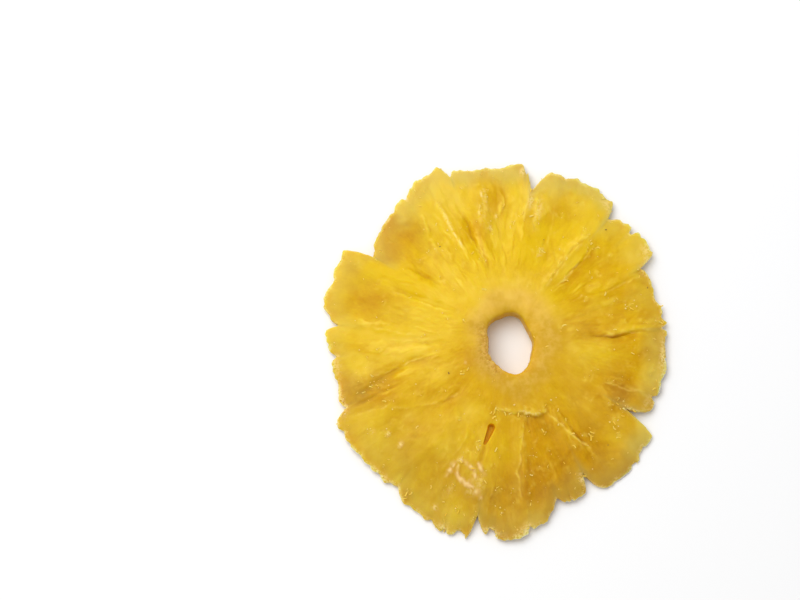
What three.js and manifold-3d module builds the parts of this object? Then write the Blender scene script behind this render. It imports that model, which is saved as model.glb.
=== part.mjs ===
// A dried pineapple ring: one cored slice of candied pineapple, as one solid.
// Petals of flesh, one for each fruitlet, stand round a firm pale collar with the cored hole in its middle.
// Drying has drawn the flesh thin towards the rim, folded it along its fibres and torn notches in it.
// Millimetres, +Z up. The ring lies on a flat surface at Z = 0 and its box is centred on the Z axis.
// Angles are in degrees, counterclockwise from +X, and radii are measured from the middle of the hole.
import * as THREE from "three";
import { mergeVertices } from "three/addons/utils/BufferGeometryUtils.js";
import Module from "manifold-3d";

const DEGREES = Math.PI / 180;
const TURN = 360;

// Driving sizes
const LENGTHEN = 1.035; // the ring is this much longer along Y than its radii say
const FULL_RADIUS = 42; // where a full petal ends
const COLLAR_RADIUS = 8.5; // the firm core that the corer left
const COLLAR_BLEND = 12; // over this much further out the collar falls to the flesh
const COLLAR_THICK = 7.2;
const FLESH_THICK = 5.4;
const RIM_THICK = 1.9;
const THIN_START = 0.35; // from this share of the full radius the flesh thins towards the rim
const EDGE_REACH = 4; // the last stretch before the rim, where both faces round off
const EDGE_THICK = 0.4; // share of the thickness that is left at the rim itself
const RIM_SAG = 0.6; // the lowest petals are pressed this much flat against the surface below
const DOME_RISE = 2.8; // the middle stands this much higher than the rim
const LIP_DROP = 0.9; // the collar's top rounds down this much at the hole, over about this reach
const LIP_REACH = 1.3;
const LIP_LEAN = 0.7; // both are greater by this share on the side at the next angle, and less opposite it
const LIP_SIDE = 65;
const THINNEST = 0.9;

// The hole that the corer cut, squeezed out of round by drying: a mean radius and its waves.
const HOLE_RADIUS = 6;
const HOLE_WAVES = [
  { count: 1, height: 0.65, peak: 295 },
  { count: 2, height: 0.95, peak: 100 },
  { count: 3, height: 0.15, peak: 44 },
  { count: 5, height: 0.22, peak: 143 },
];
const HOLE_WAIST = 0.3; // the hole's wall bulges inwards this much halfway down

// The petals in turn. Each starts at the notch at angle `at`, which reaches in to radius `notch` and opens
// over `mouth` degrees before and after it. `reach` is the petal's radius at its start, middle and end.
// `lift` is how far its tip has curled up, or down where it is below zero, and `cup` how deep it has sunk.
const PETALS = [
  { at: 5.5, notch: 34.3, mouth: [2.0, 2.0], reach: [36.2, 34.9, 35.6], lift: 0.9, cup: 0.5 },
  { at: 28.5, notch: 33.8, mouth: [4.8, 3.4], reach: [39.2, 38.5, 37.5], lift: 1.4, cup: 0.6 },
  { at: 50.2, notch: 36.0, mouth: [4.0, 2.8], reach: [40.0, 40.2, 39.6], lift: 0.4, cup: 1.0 },
  { at: 80.5, notch: 34.0, mouth: [5.4, 4.8], reach: [41.6, 39.5, 41.0], lift: 1.6, cup: 0.8 },
  { at: 109.0, notch: 39.6, mouth: [2.2, 3.2], reach: [43.4, 39.8, 36.2], lift: 0.9, cup: 0.7 },
  { at: 147.8, notch: 36.2, mouth: [1.6, 3.0], reach: [42.9, 41.8, 43.8], lift: 1.3, cup: 0.6 },
  { at: 174.2, notch: 37.8, mouth: [6.2, 2.0], reach: [41.2, 39.6, 39.7], lift: 0.3, cup: 0.45 },
  { at: 201.3, notch: 39.0, mouth: [3.6, 5.2], reach: [43.2, 41.2, 41.0], lift: 1.1, cup: 0.7 },
  { at: 231.5, notch: 40.0, mouth: [4.2, 4.0], reach: [40.5, 42.8, 43.5], lift: 0.2, cup: 0.4 },
  { at: 259.2, notch: 37.8, mouth: [2.8, 3.8], reach: [41.6, 42.0, 36.0], lift: 1.1, cup: 0.6 },
  { at: 287.5, notch: 35.7, mouth: [2.8, 2.2], reach: [36.3, 36.7, 36.7], lift: 0.5, cup: 0.3 },
  { at: 299.6, notch: 33.2, mouth: [2.4, 3.4], reach: [37.0, 38.4, 36.6], lift: -0.6, cup: 0.6 },
  { at: 330.4, notch: 29.5, mouth: [2.6, 5.0], reach: [35.0, 35.4, 35.6], lift: 0.7, cup: 0.7 },
];
const NOTCH_POINT = 1.6; // above 1, a notch narrows to a point between rounded shoulders
const NOTCH_THICK = 0.6; // how much of the flesh's thickness is kept at a notch, where the rim is a cut
// The crumbly rim's small bumps: waves round the ring, each with its number of bumps and their height.
const RIM_RIPPLES = [
  { count: 19, height: 0.2, peak: 8 },
  { count: 31, height: 0.18, peak: 3 },
  { count: 47, height: 0.16, peak: 5 },
];
const CURL_START = 0.38; // a petal starts to curl this share of the way out
const CURL_BEND = 2.2; // the larger, the more of the curl is left to the very tip
const CUP_PLACE = 0.7; // the sunken flesh lies this share of the way out
const CUP_LENGTH = 0.2;
const PLEAT_DEPTH = 0.35; // the flesh is drawn down this much between two petals' tips
const PLEAT_SHARP = 2; // the larger, the broader the pleat between two petals

// Folds along the fibres. Each runs from `angle` and `radius` at its inner end to those at its outer end.
// A height above zero is a ridge, and below it a crease. `wide` is its breadth clockwise and the other way.
const FOLDS = [
  { angle: [54.1, 52.6], radius: [13.9, 29.4], height: 0.35, wide: [0.7, 2.6] },
  { angle: [46.9, 45.3], radius: [17.1, 27.4], height: -0.3, wide: [1.8, 0.6] },
  { angle: [2.1, 4.3], radius: [18.9, 37], height: -0.35, wide: [1.4, 0.6] },
  { angle: [81.7, 80.3], radius: [23, 34.4], height: 0.25, wide: [1.6, 1] },
  { angle: [103.9, 100.2], radius: [16.8, 36.5], height: 0.3, wide: [1, 2.2] },
  { angle: [107.2, 110.5], radius: [15.8, 30.3], height: -0.45, wide: [1.6, 0.7] },
  { angle: [116.4, 117.4], radius: [19, 36.5], height: 0.25, wide: [1.2, 2] },
  { angle: [144.9, 141.5], radius: [18.3, 26.4], height: -0.25, wide: [1.6, 1] },
  { angle: [154.4, 153.3], radius: [14.4, 29.7], height: -0.3, wide: [1, 1.8] },
  { angle: [180.9, 174.8], radius: [15, 38], height: -0.2, wide: [1.2, 1.6] },
  { angle: [190.1, 195.3], radius: [17.2, 31.2], height: -0.25, wide: [1.2, 1.6] },
  { angle: [199.1, 196.9], radius: [25.3, 36.2], height: -0.3, wide: [1.8, 1.8] },
  { angle: [212.2, 206.7], radius: [15.6, 38.2], height: 0.15, wide: [1.8, 2.4] },
  { angle: [234.6, 229.6], radius: [17, 36.5], height: 0.15, wide: [2, 1.4] },
  { angle: [276.5, 274.9], radius: [17.3, 34.7], height: 0.3, wide: [2.4, 0.8] },
  { angle: [306.3, 309.6], radius: [17, 31.6], height: 0.2, wide: [1.4, 0.8] },
  { angle: [339.4, 339.7], radius: [18.4, 30.2], height: -0.25, wide: [2.4, 2.4] },
];
const FOLD_FADE = 0.22; // a fold rises and dies over this share of its length
const FOLD_THROUGH = 0.35; // the underside follows this share of each fold

// Where a flap of flesh has torn loose from the collar: the surface steps down outside this arc.
const FLAP = { from: 258, to: 304, radius: 16.2, wander: 1.2, step: 0.8, edge: 0.7, length: 9 };

// The split in the flesh, a groove down to a level: its inner end is broad and its outer end narrow.
const SPLIT = { angle: [258, 256.3], radius: [19.7, 23.2], width: [1.3, 0.6], floor: 3.9 };

// Sampling of the surface
const STEP_DEGREES = 2.4;
const NOTCH_OFFSETS = [-1.1, -0.45, 0, 0.45, 1.1]; // extra sections at a notch, in degrees
const LEAST_GAP = 0.6; // even steps nearer than this to such a section are left out
const RING_SHARE = 0.4; // up to this share of the way out the points keep to true rings
const RING_BEND = 1.4; // beyond it they close up towards the rim, the more so the larger this is
const TOP_SHARES = [0.025, 0.08, 0.15, 0.23, 0.32, 0.42, 0.52, 0.62, 0.72, 0.82, 0.91, 0.975];
const UNDER_SHARES = [0.975, 0.91, 0.78, 0.63, 0.47, 0.31, 0.16, 0.05];
const WALL_LEVELS = [0.15, 0.5, 0.82];

const clamp01 = (v) => Math.min(1, Math.max(0, v));
const smooth = (v) => clamp01(v) ** 2 * (3 - 2 * clamp01(v));
const mix = (a, b, share) => a + (b - a) * share;
// The signed turn from angle b to angle a, between -180 and 180 degrees.
const turnBetween = (a, b) => ((((a - b) % TURN) + TURN + TURN / 2) % TURN) - TURN / 2;

// The sum of waves round the ring at an angle.
const waves = (list, angle) =>
  list.reduce((sum, { count, height, peak }) => sum + height * Math.cos(count * (angle - peak) * DEGREES), 0);

// The petal at an angle, the next one, and how far the angle lies from the first's notch to the next's.
function petalAt(angle) {
  const turned = ((((angle - PETALS[0].at) % TURN) + TURN) % TURN) + PETALS[0].at;
  let index = PETALS.length - 1;
  while (PETALS[index].at > turned) index -= 1;
  const petal = PETALS[index];
  const next = PETALS[(index + 1) % PETALS.length];
  const span = (next.at - petal.at + TURN) % TURN;
  return { petal, next, index, share: (turned - petal.at) / span, span };
}

// The radius of a petal's own curve, before the notches are cut.
function petalReach({ petal, share }) {
  const [start, middle, end] = petal.reach;
  return start * (1 - share) * (1 - 2 * share) + 4 * middle * share * (1 - share) + end * share * (2 * share - 1);
}

// The radius of the rim at an angle: the petal's own curve, cut in at the notches on its two sides.
function rimRadius(angle) {
  const place = petalAt(angle);
  const { petal, next, share, span } = place;
  const reach = petalReach(place);
  const cut = (notch, turn, mouth) => (reach - notch) * Math.max(0, 1 - turn / mouth) ** NOTCH_POINT;
  const cuts =
    cut(petal.notch, share * span, petal.mouth[1]) + cut(next.notch, (1 - share) * span, next.mouth[0]);
  return reach - cuts + waves(RIM_RIPPLES, angle);
}

const holeRadius = (angle) => HOLE_RADIUS + waves(HOLE_WAVES, angle);

// How far the petals' tips have curled up at an angle, eased from the middle of each petal to the next.
function tipLift(angle) {
  const { petal, index, share } = petalAt(angle);
  const beside = PETALS[(index + (share < 0.5 ? -1 : 1) + PETALS.length) % PETALS.length];
  const towards = smooth(0.5 + Math.abs(share - 0.5)) - 0.5;
  return mix(petal.lift, beside.lift, towards);
}

// The ridges and creases at a place, in millimetres above the plain surface.
function foldHeight(angle, radius) {
  let height = 0;
  for (const fold of FOLDS) {
    const along = (radius - fold.radius[0]) / (fold.radius[1] - fold.radius[0]);
    const fromEnd = (end) => smooth((end + FOLD_FADE) / (2 * FOLD_FADE));
    const fade = fromEnd(along) * fromEnd(1 - along);
    const aside = turnBetween(angle, mix(fold.angle[0], fold.angle[1], clamp01(along))) * DEGREES * radius;
    const wide = fold.wide[aside < 0 ? 0 : 1];
    height += fold.height * fade * Math.exp(-((aside / wide) ** 2));
  }
  return height;
}

// The step down outside the torn flap, dying away towards the rim and the flap's two ends.
function flapStep(angle, radius) {
  const along = (angle - FLAP.from) / (FLAP.to - FLAP.from);
  if (along <= 0 || along >= 1) return 0;
  const past = radius - FLAP.radius - FLAP.wander * Math.sin(2 * TURN * along * DEGREES);
  const fade = Math.sin(Math.PI * along) ** 0.5 * Math.exp(-Math.max(0, past) / FLAP.length);
  return FLAP.step * fade * smooth(past / FLAP.edge);
}

// The top and underside of the ring at a place, as heights above the surface it lies on.
function levels(angle, radius, hole, rim) {
  const place = petalAt(angle);
  const { petal } = place;
  const petalMiddle = Math.sin(Math.PI * place.share) ** PLEAT_SHARP;
  const out = Math.min(1, radius / FULL_RADIUS);

  const collar = 1 - smooth((radius - COLLAR_RADIUS) / COLLAR_BLEND);
  const flesh = mix(FLESH_THICK, RIM_THICK, smooth((out - THIN_START) / (1 - THIN_START)));
  const thinning = mix(rim, petalReach(place), NOTCH_THICK) - radius;
  const edge = mix(EDGE_THICK, 1, Math.sqrt(clamp01(thinning / EDGE_REACH)));
  const thick = mix(flesh, COLLAR_THICK, collar) * edge;
  const curl = clamp01((out - CURL_START) / (1 - CURL_START)) ** CURL_BEND;
  const tip = tipLift(angle) - PLEAT_DEPTH * (1 - petalMiddle);
  const middle = RIM_THICK / 2 - RIM_SAG + DOME_RISE * (1 - out ** 2) + tip * curl;

  const folds = foldHeight(angle, radius);
  const cup = petal.cup * petalMiddle * Math.exp(-(((out - CUP_PLACE) / CUP_LENGTH) ** 2));
  const side = 1 + LIP_LEAN * Math.cos((angle - LIP_SIDE) * DEGREES);
  const lip = LIP_DROP * side * Math.exp(-(radius - hole) / (LIP_REACH * side));
  const under = Math.max(0, middle - thick / 2 + FOLD_THROUGH * folds);
  const top = middle + thick / 2 + folds - cup - flapStep(angle, radius) - lip;
  return { under, top: Math.max(under + THINNEST * edge, top) };
}

// The sections round the ring: even steps, with more of them where a notch is.
function sectionAngles() {
  const angles = [];
  for (const { at } of PETALS) for (const offset of NOTCH_OFFSETS) angles.push((at + offset + TURN) % TURN);
  const clear = (angle) => angles.every((other) => Math.abs(turnBetween(angle, other)) > LEAST_GAP);
  for (let angle = 0; angle < TURN; angle += STEP_DEGREES) if (clear(angle)) angles.push(angle);
  return angles.sort((a, b) => a - b);
}

// One closed section at an angle: [radius, height] from the hole's wall over the top and back underneath.
function section(angle) {
  const hole = holeRadius(angle);
  const rim = rimRadius(angle);
  const at = (share) => {
    const closing = clamp01((share - RING_SHARE) / (1 - RING_SHARE)) ** RING_BEND;
    const radius = mix(hole, FULL_RADIUS, share) - (FULL_RADIUS - rim) * closing;
    return { radius, ...levels(angle, radius, hole, rim) };
  };
  const inner = at(0);
  const outer = at(1);
  const wall = WALL_LEVELS.map((level) => [
    hole - HOLE_WAIST * Math.sin(Math.PI * level),
    mix(inner.under, inner.top, level),
  ]);
  const over = TOP_SHARES.map(at).map(({ radius, top }) => [radius, top]);
  const back = UNDER_SHARES.map(at).map(({ radius, under }) => [radius, under]);
  return [...wall, ...over, [rim, (outer.under + outer.top) / 2], ...back];
}

// The ring's closed surface, made of the sections joined in a loop.
function ringGeometry() {
  const sections = sectionAngles().map((angle) => ({ angle: angle * DEGREES, points: section(angle) }));
  const perSection = sections[0].points.length;
  const positions = [];
  for (const { angle, points } of sections)
    for (const [radius, height] of points)
      positions.push(radius * Math.cos(angle), radius * Math.sin(angle) * LENGTHEN, height);
  const indices = [];
  for (let turn = 0; turn < sections.length; turn += 1) {
    const here = turn * perSection;
    const there = ((turn + 1) % sections.length) * perSection;
    for (let point = 0; point < perSection; point += 1) {
      const after = (point + 1) % perSection;
      indices.push(here + point, here + after, there + after);
      indices.push(here + point, there + after, there + point);
    }
  }
  return new THREE.BufferGeometry()
    .setAttribute("position", new THREE.Float32BufferAttribute(positions, 3))
    .setIndex(indices);
}

// The cutter for the split: its outline, drawn from one end to the other and raised through the top.
function splitGeometry() {
  const [start, end] = [0, 1].map((side) =>
    new THREE.Vector2(SPLIT.radius[side], 0).rotateAround(new THREE.Vector2(), SPLIT.angle[side] * DEGREES),
  );
  const way = end.clone().sub(start).angle();
  const outline = new THREE.Shape();
  outline.absarc(start.x, start.y, SPLIT.width[0] / 2, way + Math.PI / 2, way + 1.5 * Math.PI, false);
  outline.absarc(end.x, end.y, SPLIT.width[1] / 2, way - Math.PI / 2, way + Math.PI / 2, false);
  outline.closePath();
  const depth = COLLAR_THICK + DOME_RISE;
  return new THREE.ExtrudeGeometry(outline, { depth, bevelEnabled: false, curveSegments: 8 })
    .translate(0, 0, SPLIT.floor)
    .scale(1, LENGTHEN, 1);
}

// Cutting with manifold-3d
const wasm = await Module();
wasm.setup();

function solidOf(geometry) {
  const bare = geometry.clone();
  bare.deleteAttribute("normal");
  bare.deleteAttribute("uv");
  const merged = mergeVertices(bare, 1e-4);
  return new wasm.Manifold(
    new wasm.Mesh({
      numProp: 3,
      vertProperties: merged.attributes.position.array,
      triVerts: new Uint32Array(merged.index.array),
    }),
  );
}

function geometryOf(solid) {
  const { vertProperties, triVerts } = solid.getMesh();
  return new THREE.BufferGeometry()
    .setAttribute("position", new THREE.Float32BufferAttribute(vertProperties, 3))
    .setIndex(Array.from(triVerts));
}

// The ring with its split, moved so that its box stands centred on the origin.
function splitRing() {
  const geometry = geometryOf(solidOf(ringGeometry()).subtract(solidOf(splitGeometry())));
  geometry.computeBoundingBox();
  const centre = geometry.boundingBox.getCenter(new THREE.Vector3());
  geometry.translate(-centre.x, -centre.y, 0);
  geometry.computeVertexNormals();
  return geometry;
}

const driedFlesh = new THREE.MeshStandardMaterial({ color: 0xe2ab2c, roughness: 0.42, metalness: 0 });

const pineappleRing = new THREE.Mesh(splitRing(), driedFlesh);
pineappleRing.name = "pineapple_ring";

const part = new THREE.Group();
part.add(pineappleRing);

export default part;
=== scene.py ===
"""A dried pineapple ring: the fine surface of its candied flesh, its sugar, torn fibres and specks.

Lengths are in millimetres until a mesh is made, and in metres from there. Angles are in degrees,
counterclockwise from +X. Radii are measured from the middle of the cored hole, where every fibre of the
ring starts.
"""
import math

import bpy
import numpy as np
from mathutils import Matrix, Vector, noise


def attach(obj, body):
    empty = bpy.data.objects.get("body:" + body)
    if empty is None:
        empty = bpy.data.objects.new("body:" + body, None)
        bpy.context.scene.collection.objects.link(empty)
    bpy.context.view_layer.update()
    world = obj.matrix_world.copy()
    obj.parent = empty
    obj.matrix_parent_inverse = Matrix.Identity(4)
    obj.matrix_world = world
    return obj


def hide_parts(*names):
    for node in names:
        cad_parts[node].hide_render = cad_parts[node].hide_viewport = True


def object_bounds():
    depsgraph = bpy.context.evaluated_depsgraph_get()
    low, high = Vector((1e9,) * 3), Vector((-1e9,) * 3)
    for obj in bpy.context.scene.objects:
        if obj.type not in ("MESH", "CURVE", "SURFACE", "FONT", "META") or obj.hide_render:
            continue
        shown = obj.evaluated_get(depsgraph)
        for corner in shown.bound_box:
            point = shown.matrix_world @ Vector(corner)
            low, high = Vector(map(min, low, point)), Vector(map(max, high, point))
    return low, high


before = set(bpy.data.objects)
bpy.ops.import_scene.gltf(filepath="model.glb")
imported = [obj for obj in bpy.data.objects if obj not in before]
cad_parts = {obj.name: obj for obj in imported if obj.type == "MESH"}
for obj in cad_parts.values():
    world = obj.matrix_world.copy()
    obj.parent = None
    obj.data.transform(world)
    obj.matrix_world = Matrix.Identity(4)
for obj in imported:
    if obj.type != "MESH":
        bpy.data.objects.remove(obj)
CAD_LOW, CAD_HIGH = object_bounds()

METRES = 0.001  # one millimetre
TURN = 360

# The ring's driving sizes, as its solid has them, apart from a rim that is drawn thinner.
LENGTHEN = 1.035  # how much longer than broad the ring has dried
FULL_RADIUS = 42
COLLAR_RADIUS = 8.5
COLLAR_BLEND = 12  # how far out the collar's thickness takes to fade
COLLAR_THICK = 7.2
FLESH_THICK = 5.4
RIM_THICK = 1.9
THIN_START = 0.35  # the share of the way out where the flesh starts to thin
EDGE_REACH = 4  # how far in from the rim its rounding goes
EDGE_THICK = 0.22  # the share of the thickness that is left at the very edge
RIM_SAG = 0.6  # how far the rim would hang below what the ring lies on, if nothing curled it up
DOME_RISE = 2.8  # how much higher the ring's middle is than its rim
LIP_DROP = 0.9  # how far the collar's top rounds down into the hole
LIP_REACH = 1.3
LIP_LEAN = 0.7  # how much more it does so on one side
LIP_SIDE = 65
THINNEST = 0.9  # the flesh is nowhere thinner, apart from its rounded edge
HOLE_RADIUS = 6
HOLE_WAVES = [(1, 0.65, 295), (2, 0.95, 100), (3, 0.15, 44), (5, 0.22, 143)]  # count, height, place of a peak
HOLE_WAIST = 0.3  # how far the hole's wall stands in halfway down
TEETH_SIDE = 215  # where the hole's edge is most toothed, and how far that spreads
TEETH_SPREAD = 50
NOTCH_POINT = 1.6  # how pointed the notches are: at 1 their sides are straight
NOTCH_THICK = 0.6  # how much less the edge thins in the notches than at the petals' tips
RIM_RIPPLES = [(19, 0.2, 8), (31, 0.18, 3), (47, 0.16, 5)]
CURL_START = 0.38  # the share of the way out where the petals start to curl up
CURL_BEND = 2.2
CUP_PLACE = 0.7  # where the petals have sunk most, and over what length, as shares of the way out
CUP_LENGTH = 0.2
PLEAT_DEPTH = 0.35  # how much lower the flesh is between two petals
PLEAT_SHARP = 2
RING_SHARE = 0.4  # the share of the way out where the rows start to follow the rim
RING_BEND = 1.4

# Each petal: the angle and radius of the notch where it starts, the notch's mouth before and after it,
# the petal's reach at its start, middle and end, its tip's lift, how deep it has sunk, and how hazy
# its thin rim has dried.
PETALS = [
    (5.5, 34.3, 2.0, 2.0, 36.2, 34.9, 35.6, 0.9, 0.5, 0.35),
    (28.5, 33.8, 4.8, 3.4, 39.2, 38.5, 37.5, 1.4, 0.6, 0.45),
    (50.2, 36.0, 4.0, 2.8, 40.0, 40.2, 39.6, 0.4, 1.0, 0.9),
    (80.5, 34.0, 5.4, 4.8, 41.6, 39.5, 41.0, 1.6, 0.8, 0.95),
    (109.0, 39.6, 2.2, 3.2, 43.4, 39.8, 36.2, 0.9, 0.7, 0.7),
    (147.8, 36.2, 1.6, 3.0, 42.9, 41.8, 43.8, 1.3, 0.6, 0.45),
    (174.2, 37.8, 6.2, 2.0, 41.2, 39.6, 39.7, 0.3, 0.45, 0.4),
    (201.3, 39.0, 3.6, 5.2, 43.2, 41.2, 41.0, 1.1, 0.7, 0.35),
    (231.5, 40.0, 4.2, 4.0, 40.5, 42.8, 43.5, 0.2, 0.4, 0.55),
    (259.2, 37.8, 2.8, 3.8, 41.6, 42.0, 36.0, 1.1, 0.6, 0.8),
    (287.5, 35.7, 2.8, 2.2, 36.3, 36.7, 36.7, 0.5, 0.3, 0.7),
    (299.6, 33.2, 2.4, 3.4, 37.0, 38.4, 36.6, -0.6, 0.6, 0.85),
    (330.4, 29.5, 2.6, 5.0, 35.0, 35.4, 35.6, 0.7, 0.7, 0.75),
]
(
    AT, NOTCH, MOUTH_BEFORE, MOUTH_AFTER, REACH_START, REACH_MIDDLE, REACH_END, LIFT, CUP, HAZE,
) = np.array(PETALS).T

# Folds of the flesh, as the solid has them: angle at the inner and the outer end, radius at both,
# height, and breadth clockwise and the other way.
FOLDS = [
    (54.1, 52.6, 13.9, 29.4, 0.35, 0.7, 2.6),
    (46.9, 45.3, 17.1, 27.4, -0.3, 1.8, 0.6),
    (2.1, 4.3, 18.9, 37, -0.35, 1.4, 0.6),
    (81.7, 80.3, 23, 34.4, 0.25, 1.6, 1),
    (103.9, 100.2, 16.8, 36.5, 0.3, 1, 2.2),
    (107.2, 110.5, 15.8, 30.3, -0.45, 1.6, 0.7),
    (116.4, 117.4, 19, 36.5, 0.25, 1.2, 2),
    (144.9, 141.5, 18.3, 26.4, -0.25, 1.6, 1),
    (154.4, 153.3, 14.4, 29.7, -0.3, 1, 1.8),
    (180.9, 174.8, 15, 38, -0.2, 1.2, 1.6),
    (190.1, 195.3, 17.2, 31.2, -0.25, 1.2, 1.6),
    (199.1, 196.9, 25.3, 36.2, -0.3, 1.8, 1.8),
    (212.2, 206.7, 15.6, 38.2, 0.15, 1.8, 2.4),
    (234.6, 229.6, 17, 36.5, 0.15, 2, 1.4),
    (276.5, 274.9, 17.3, 34.7, 0.3, 2.4, 0.8),
    (306.3, 309.6, 17, 31.6, 0.2, 1.4, 0.8),
    (339.4, 339.7, 18.4, 30.2, -0.25, 2.4, 2.4),
]
FOLD_FADE = 0.22
FOLD_THROUGH = 0.35

# Narrow creases and torn lips on top of the folds, in the same terms.
CREASES = [
    (106, 110.2, 17.2, 30.3, -0.3, 0.4, 0.2),
    (104.8, 106.9, 18.9, 27.2, 0.15, 0.8, 0.5),
    (116.2, 117, 24.1, 35.5, 0.15, 0.4, 0.7),
    (119.5, 120, 26.2, 33.4, 0.12, 0.4, 0.5),
    (99.2, 98.3, 28.2, 35.4, 0.15, 0.5, 0.5),
    (140.9, 143.8, 19.9, 26.8, -0.22, 0.7, 0.3),
    (152.1, 155.7, 16.4, 27.8, -0.2, 0.3, 0.7),
    (172.3, 172.6, 26.9, 33.9, 0.15, 0.4, 0.6),
    (76.1, 78.3, 27.2, 34.2, 0.2, 0.6, 0.5),
    (54.5, 55.1, 14.5, 25.9, 0.25, 0.3, 1),
    (55.1, 51.4, 25.9, 29.9, 0.25, 0.3, 1),
    (47.3, 47.4, 18.6, 27.4, -0.3, 0.3, 0.3),
    (2.7, 3.4, 19.5, 30, -0.3, 0.3, 0.25),
    (4.5, 4.9, 20.3, 31.9, 0.15, 0.4, 0.8),
    (18.9, 18.9, 24.7, 29.8, -0.1, 0.3, 0.3),
    (70.4, 69.7, 22.8, 25.3, -0.15, 0.3, 0.3),
    (305.6, 306.3, 19.4, 29.6, -0.22, 0.25, 0.25),
    (304.1, 304.9, 19.4, 27.7, 0.15, 0.4, 0.3),
    (187.6, 184.1, 17.1, 28, 0.2, 1.2, 1.2),
    (191.1, 193.9, 19.9, 28.4, -0.35, 0.4, 1),
    (193.9, 198.5, 28.4, 34.9, -0.2, 0.6, 1.2),
    (201.7, 202.1, 27.3, 37.2, -0.2, 0.4, 0.4),
    (256.2, 256, 23.5, 27.9, -0.2, 0.4, 0.4),
    (226, 223, 15.4, 20.3, -0.25, 0.4, 0.6),
    (278, 276, 18.7, 29.8, 0.15, 0.4, 0.8),
    (26.4, 26.4, 23.5, 32.7, -0.15, 0.5, 0.5),
    (87.9, 86.9, 20.9, 30.3, 0.1, 0.4, 0.7),
    (339.4, 339, 28.3, 34.2, 0.12, 0.5, 0.5),
    (182.4, 181.5, 13.8, 25, -0.15, 0.3, 0.5),
    (142.5, 141, 19.9, 28, -0.12, 0.4, 0.6),
    (128.9, 124.4, 25.7, 34.3, 0.2, 0.5, 0.4),
]

# Torn edges of the flesh's layers: angle at the inner and the outer end, radius at both, strength, and the
# side that lies over the other, 1 counterclockwise and -1 clockwise.
LAYER_EDGES = [
    (280.2, 274.1, 17.2, 28.4, 0.7, -1),
    (274.1, 274.3, 27.9, 34.2, 0.45, -1),
    (54.5, 52.4, 14.4, 30.4, 0.55, -1),
    (106.2, 111.6, 17.4, 27.2, 0.3, 1),
    (227.3, 207.2, 15.9, 31.3, 0.45, -1),
    (191.1, 194.4, 17.2, 30.2, 0.6, -1),
    (207.9, 204.7, 29.4, 38.2, 0.4, 1),
    (299, 308, 18.1, 29.6, 0.6, -1),
    (99.8, 98.6, 28.2, 35.4, 0.6, 1),
    (46.6, 46.3, 16.1, 27.4, 0.85, 1),
    (177.2, 173.2, 19.9, 32.9, 0.4, 1),
    (155.8, 156.6, 16.5, 27.7, 0.4, 1),
    (82.3, 80.8, 27.2, 35.4, 0.5, 1),
    (86.8, 84.9, 20.9, 30.3, 0.35, 1),
    (335.5, 339.8, 22.4, 32.2, 0.35, 1),
    (2.8, 3.6, 19.9, 29.9, 0.5, 1),
    (264.1, 262.1, 30.7, 37.5, 0.4, -1),
    (116.5, 117.1, 23.1, 34.4, 0.6, 1),
    (25.8, 25.9, 23.5, 32.7, 0.35, 1),
    (67.1, 69.5, 23.1, 30.3, 0.3, -1),
    (246.2, 242.6, 22, 30.7, 0.3, -1),
]

# The next six tables hold places on the flesh, counterclockwise: angle, radius, length along the fibres,
# breadth and strength.

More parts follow.
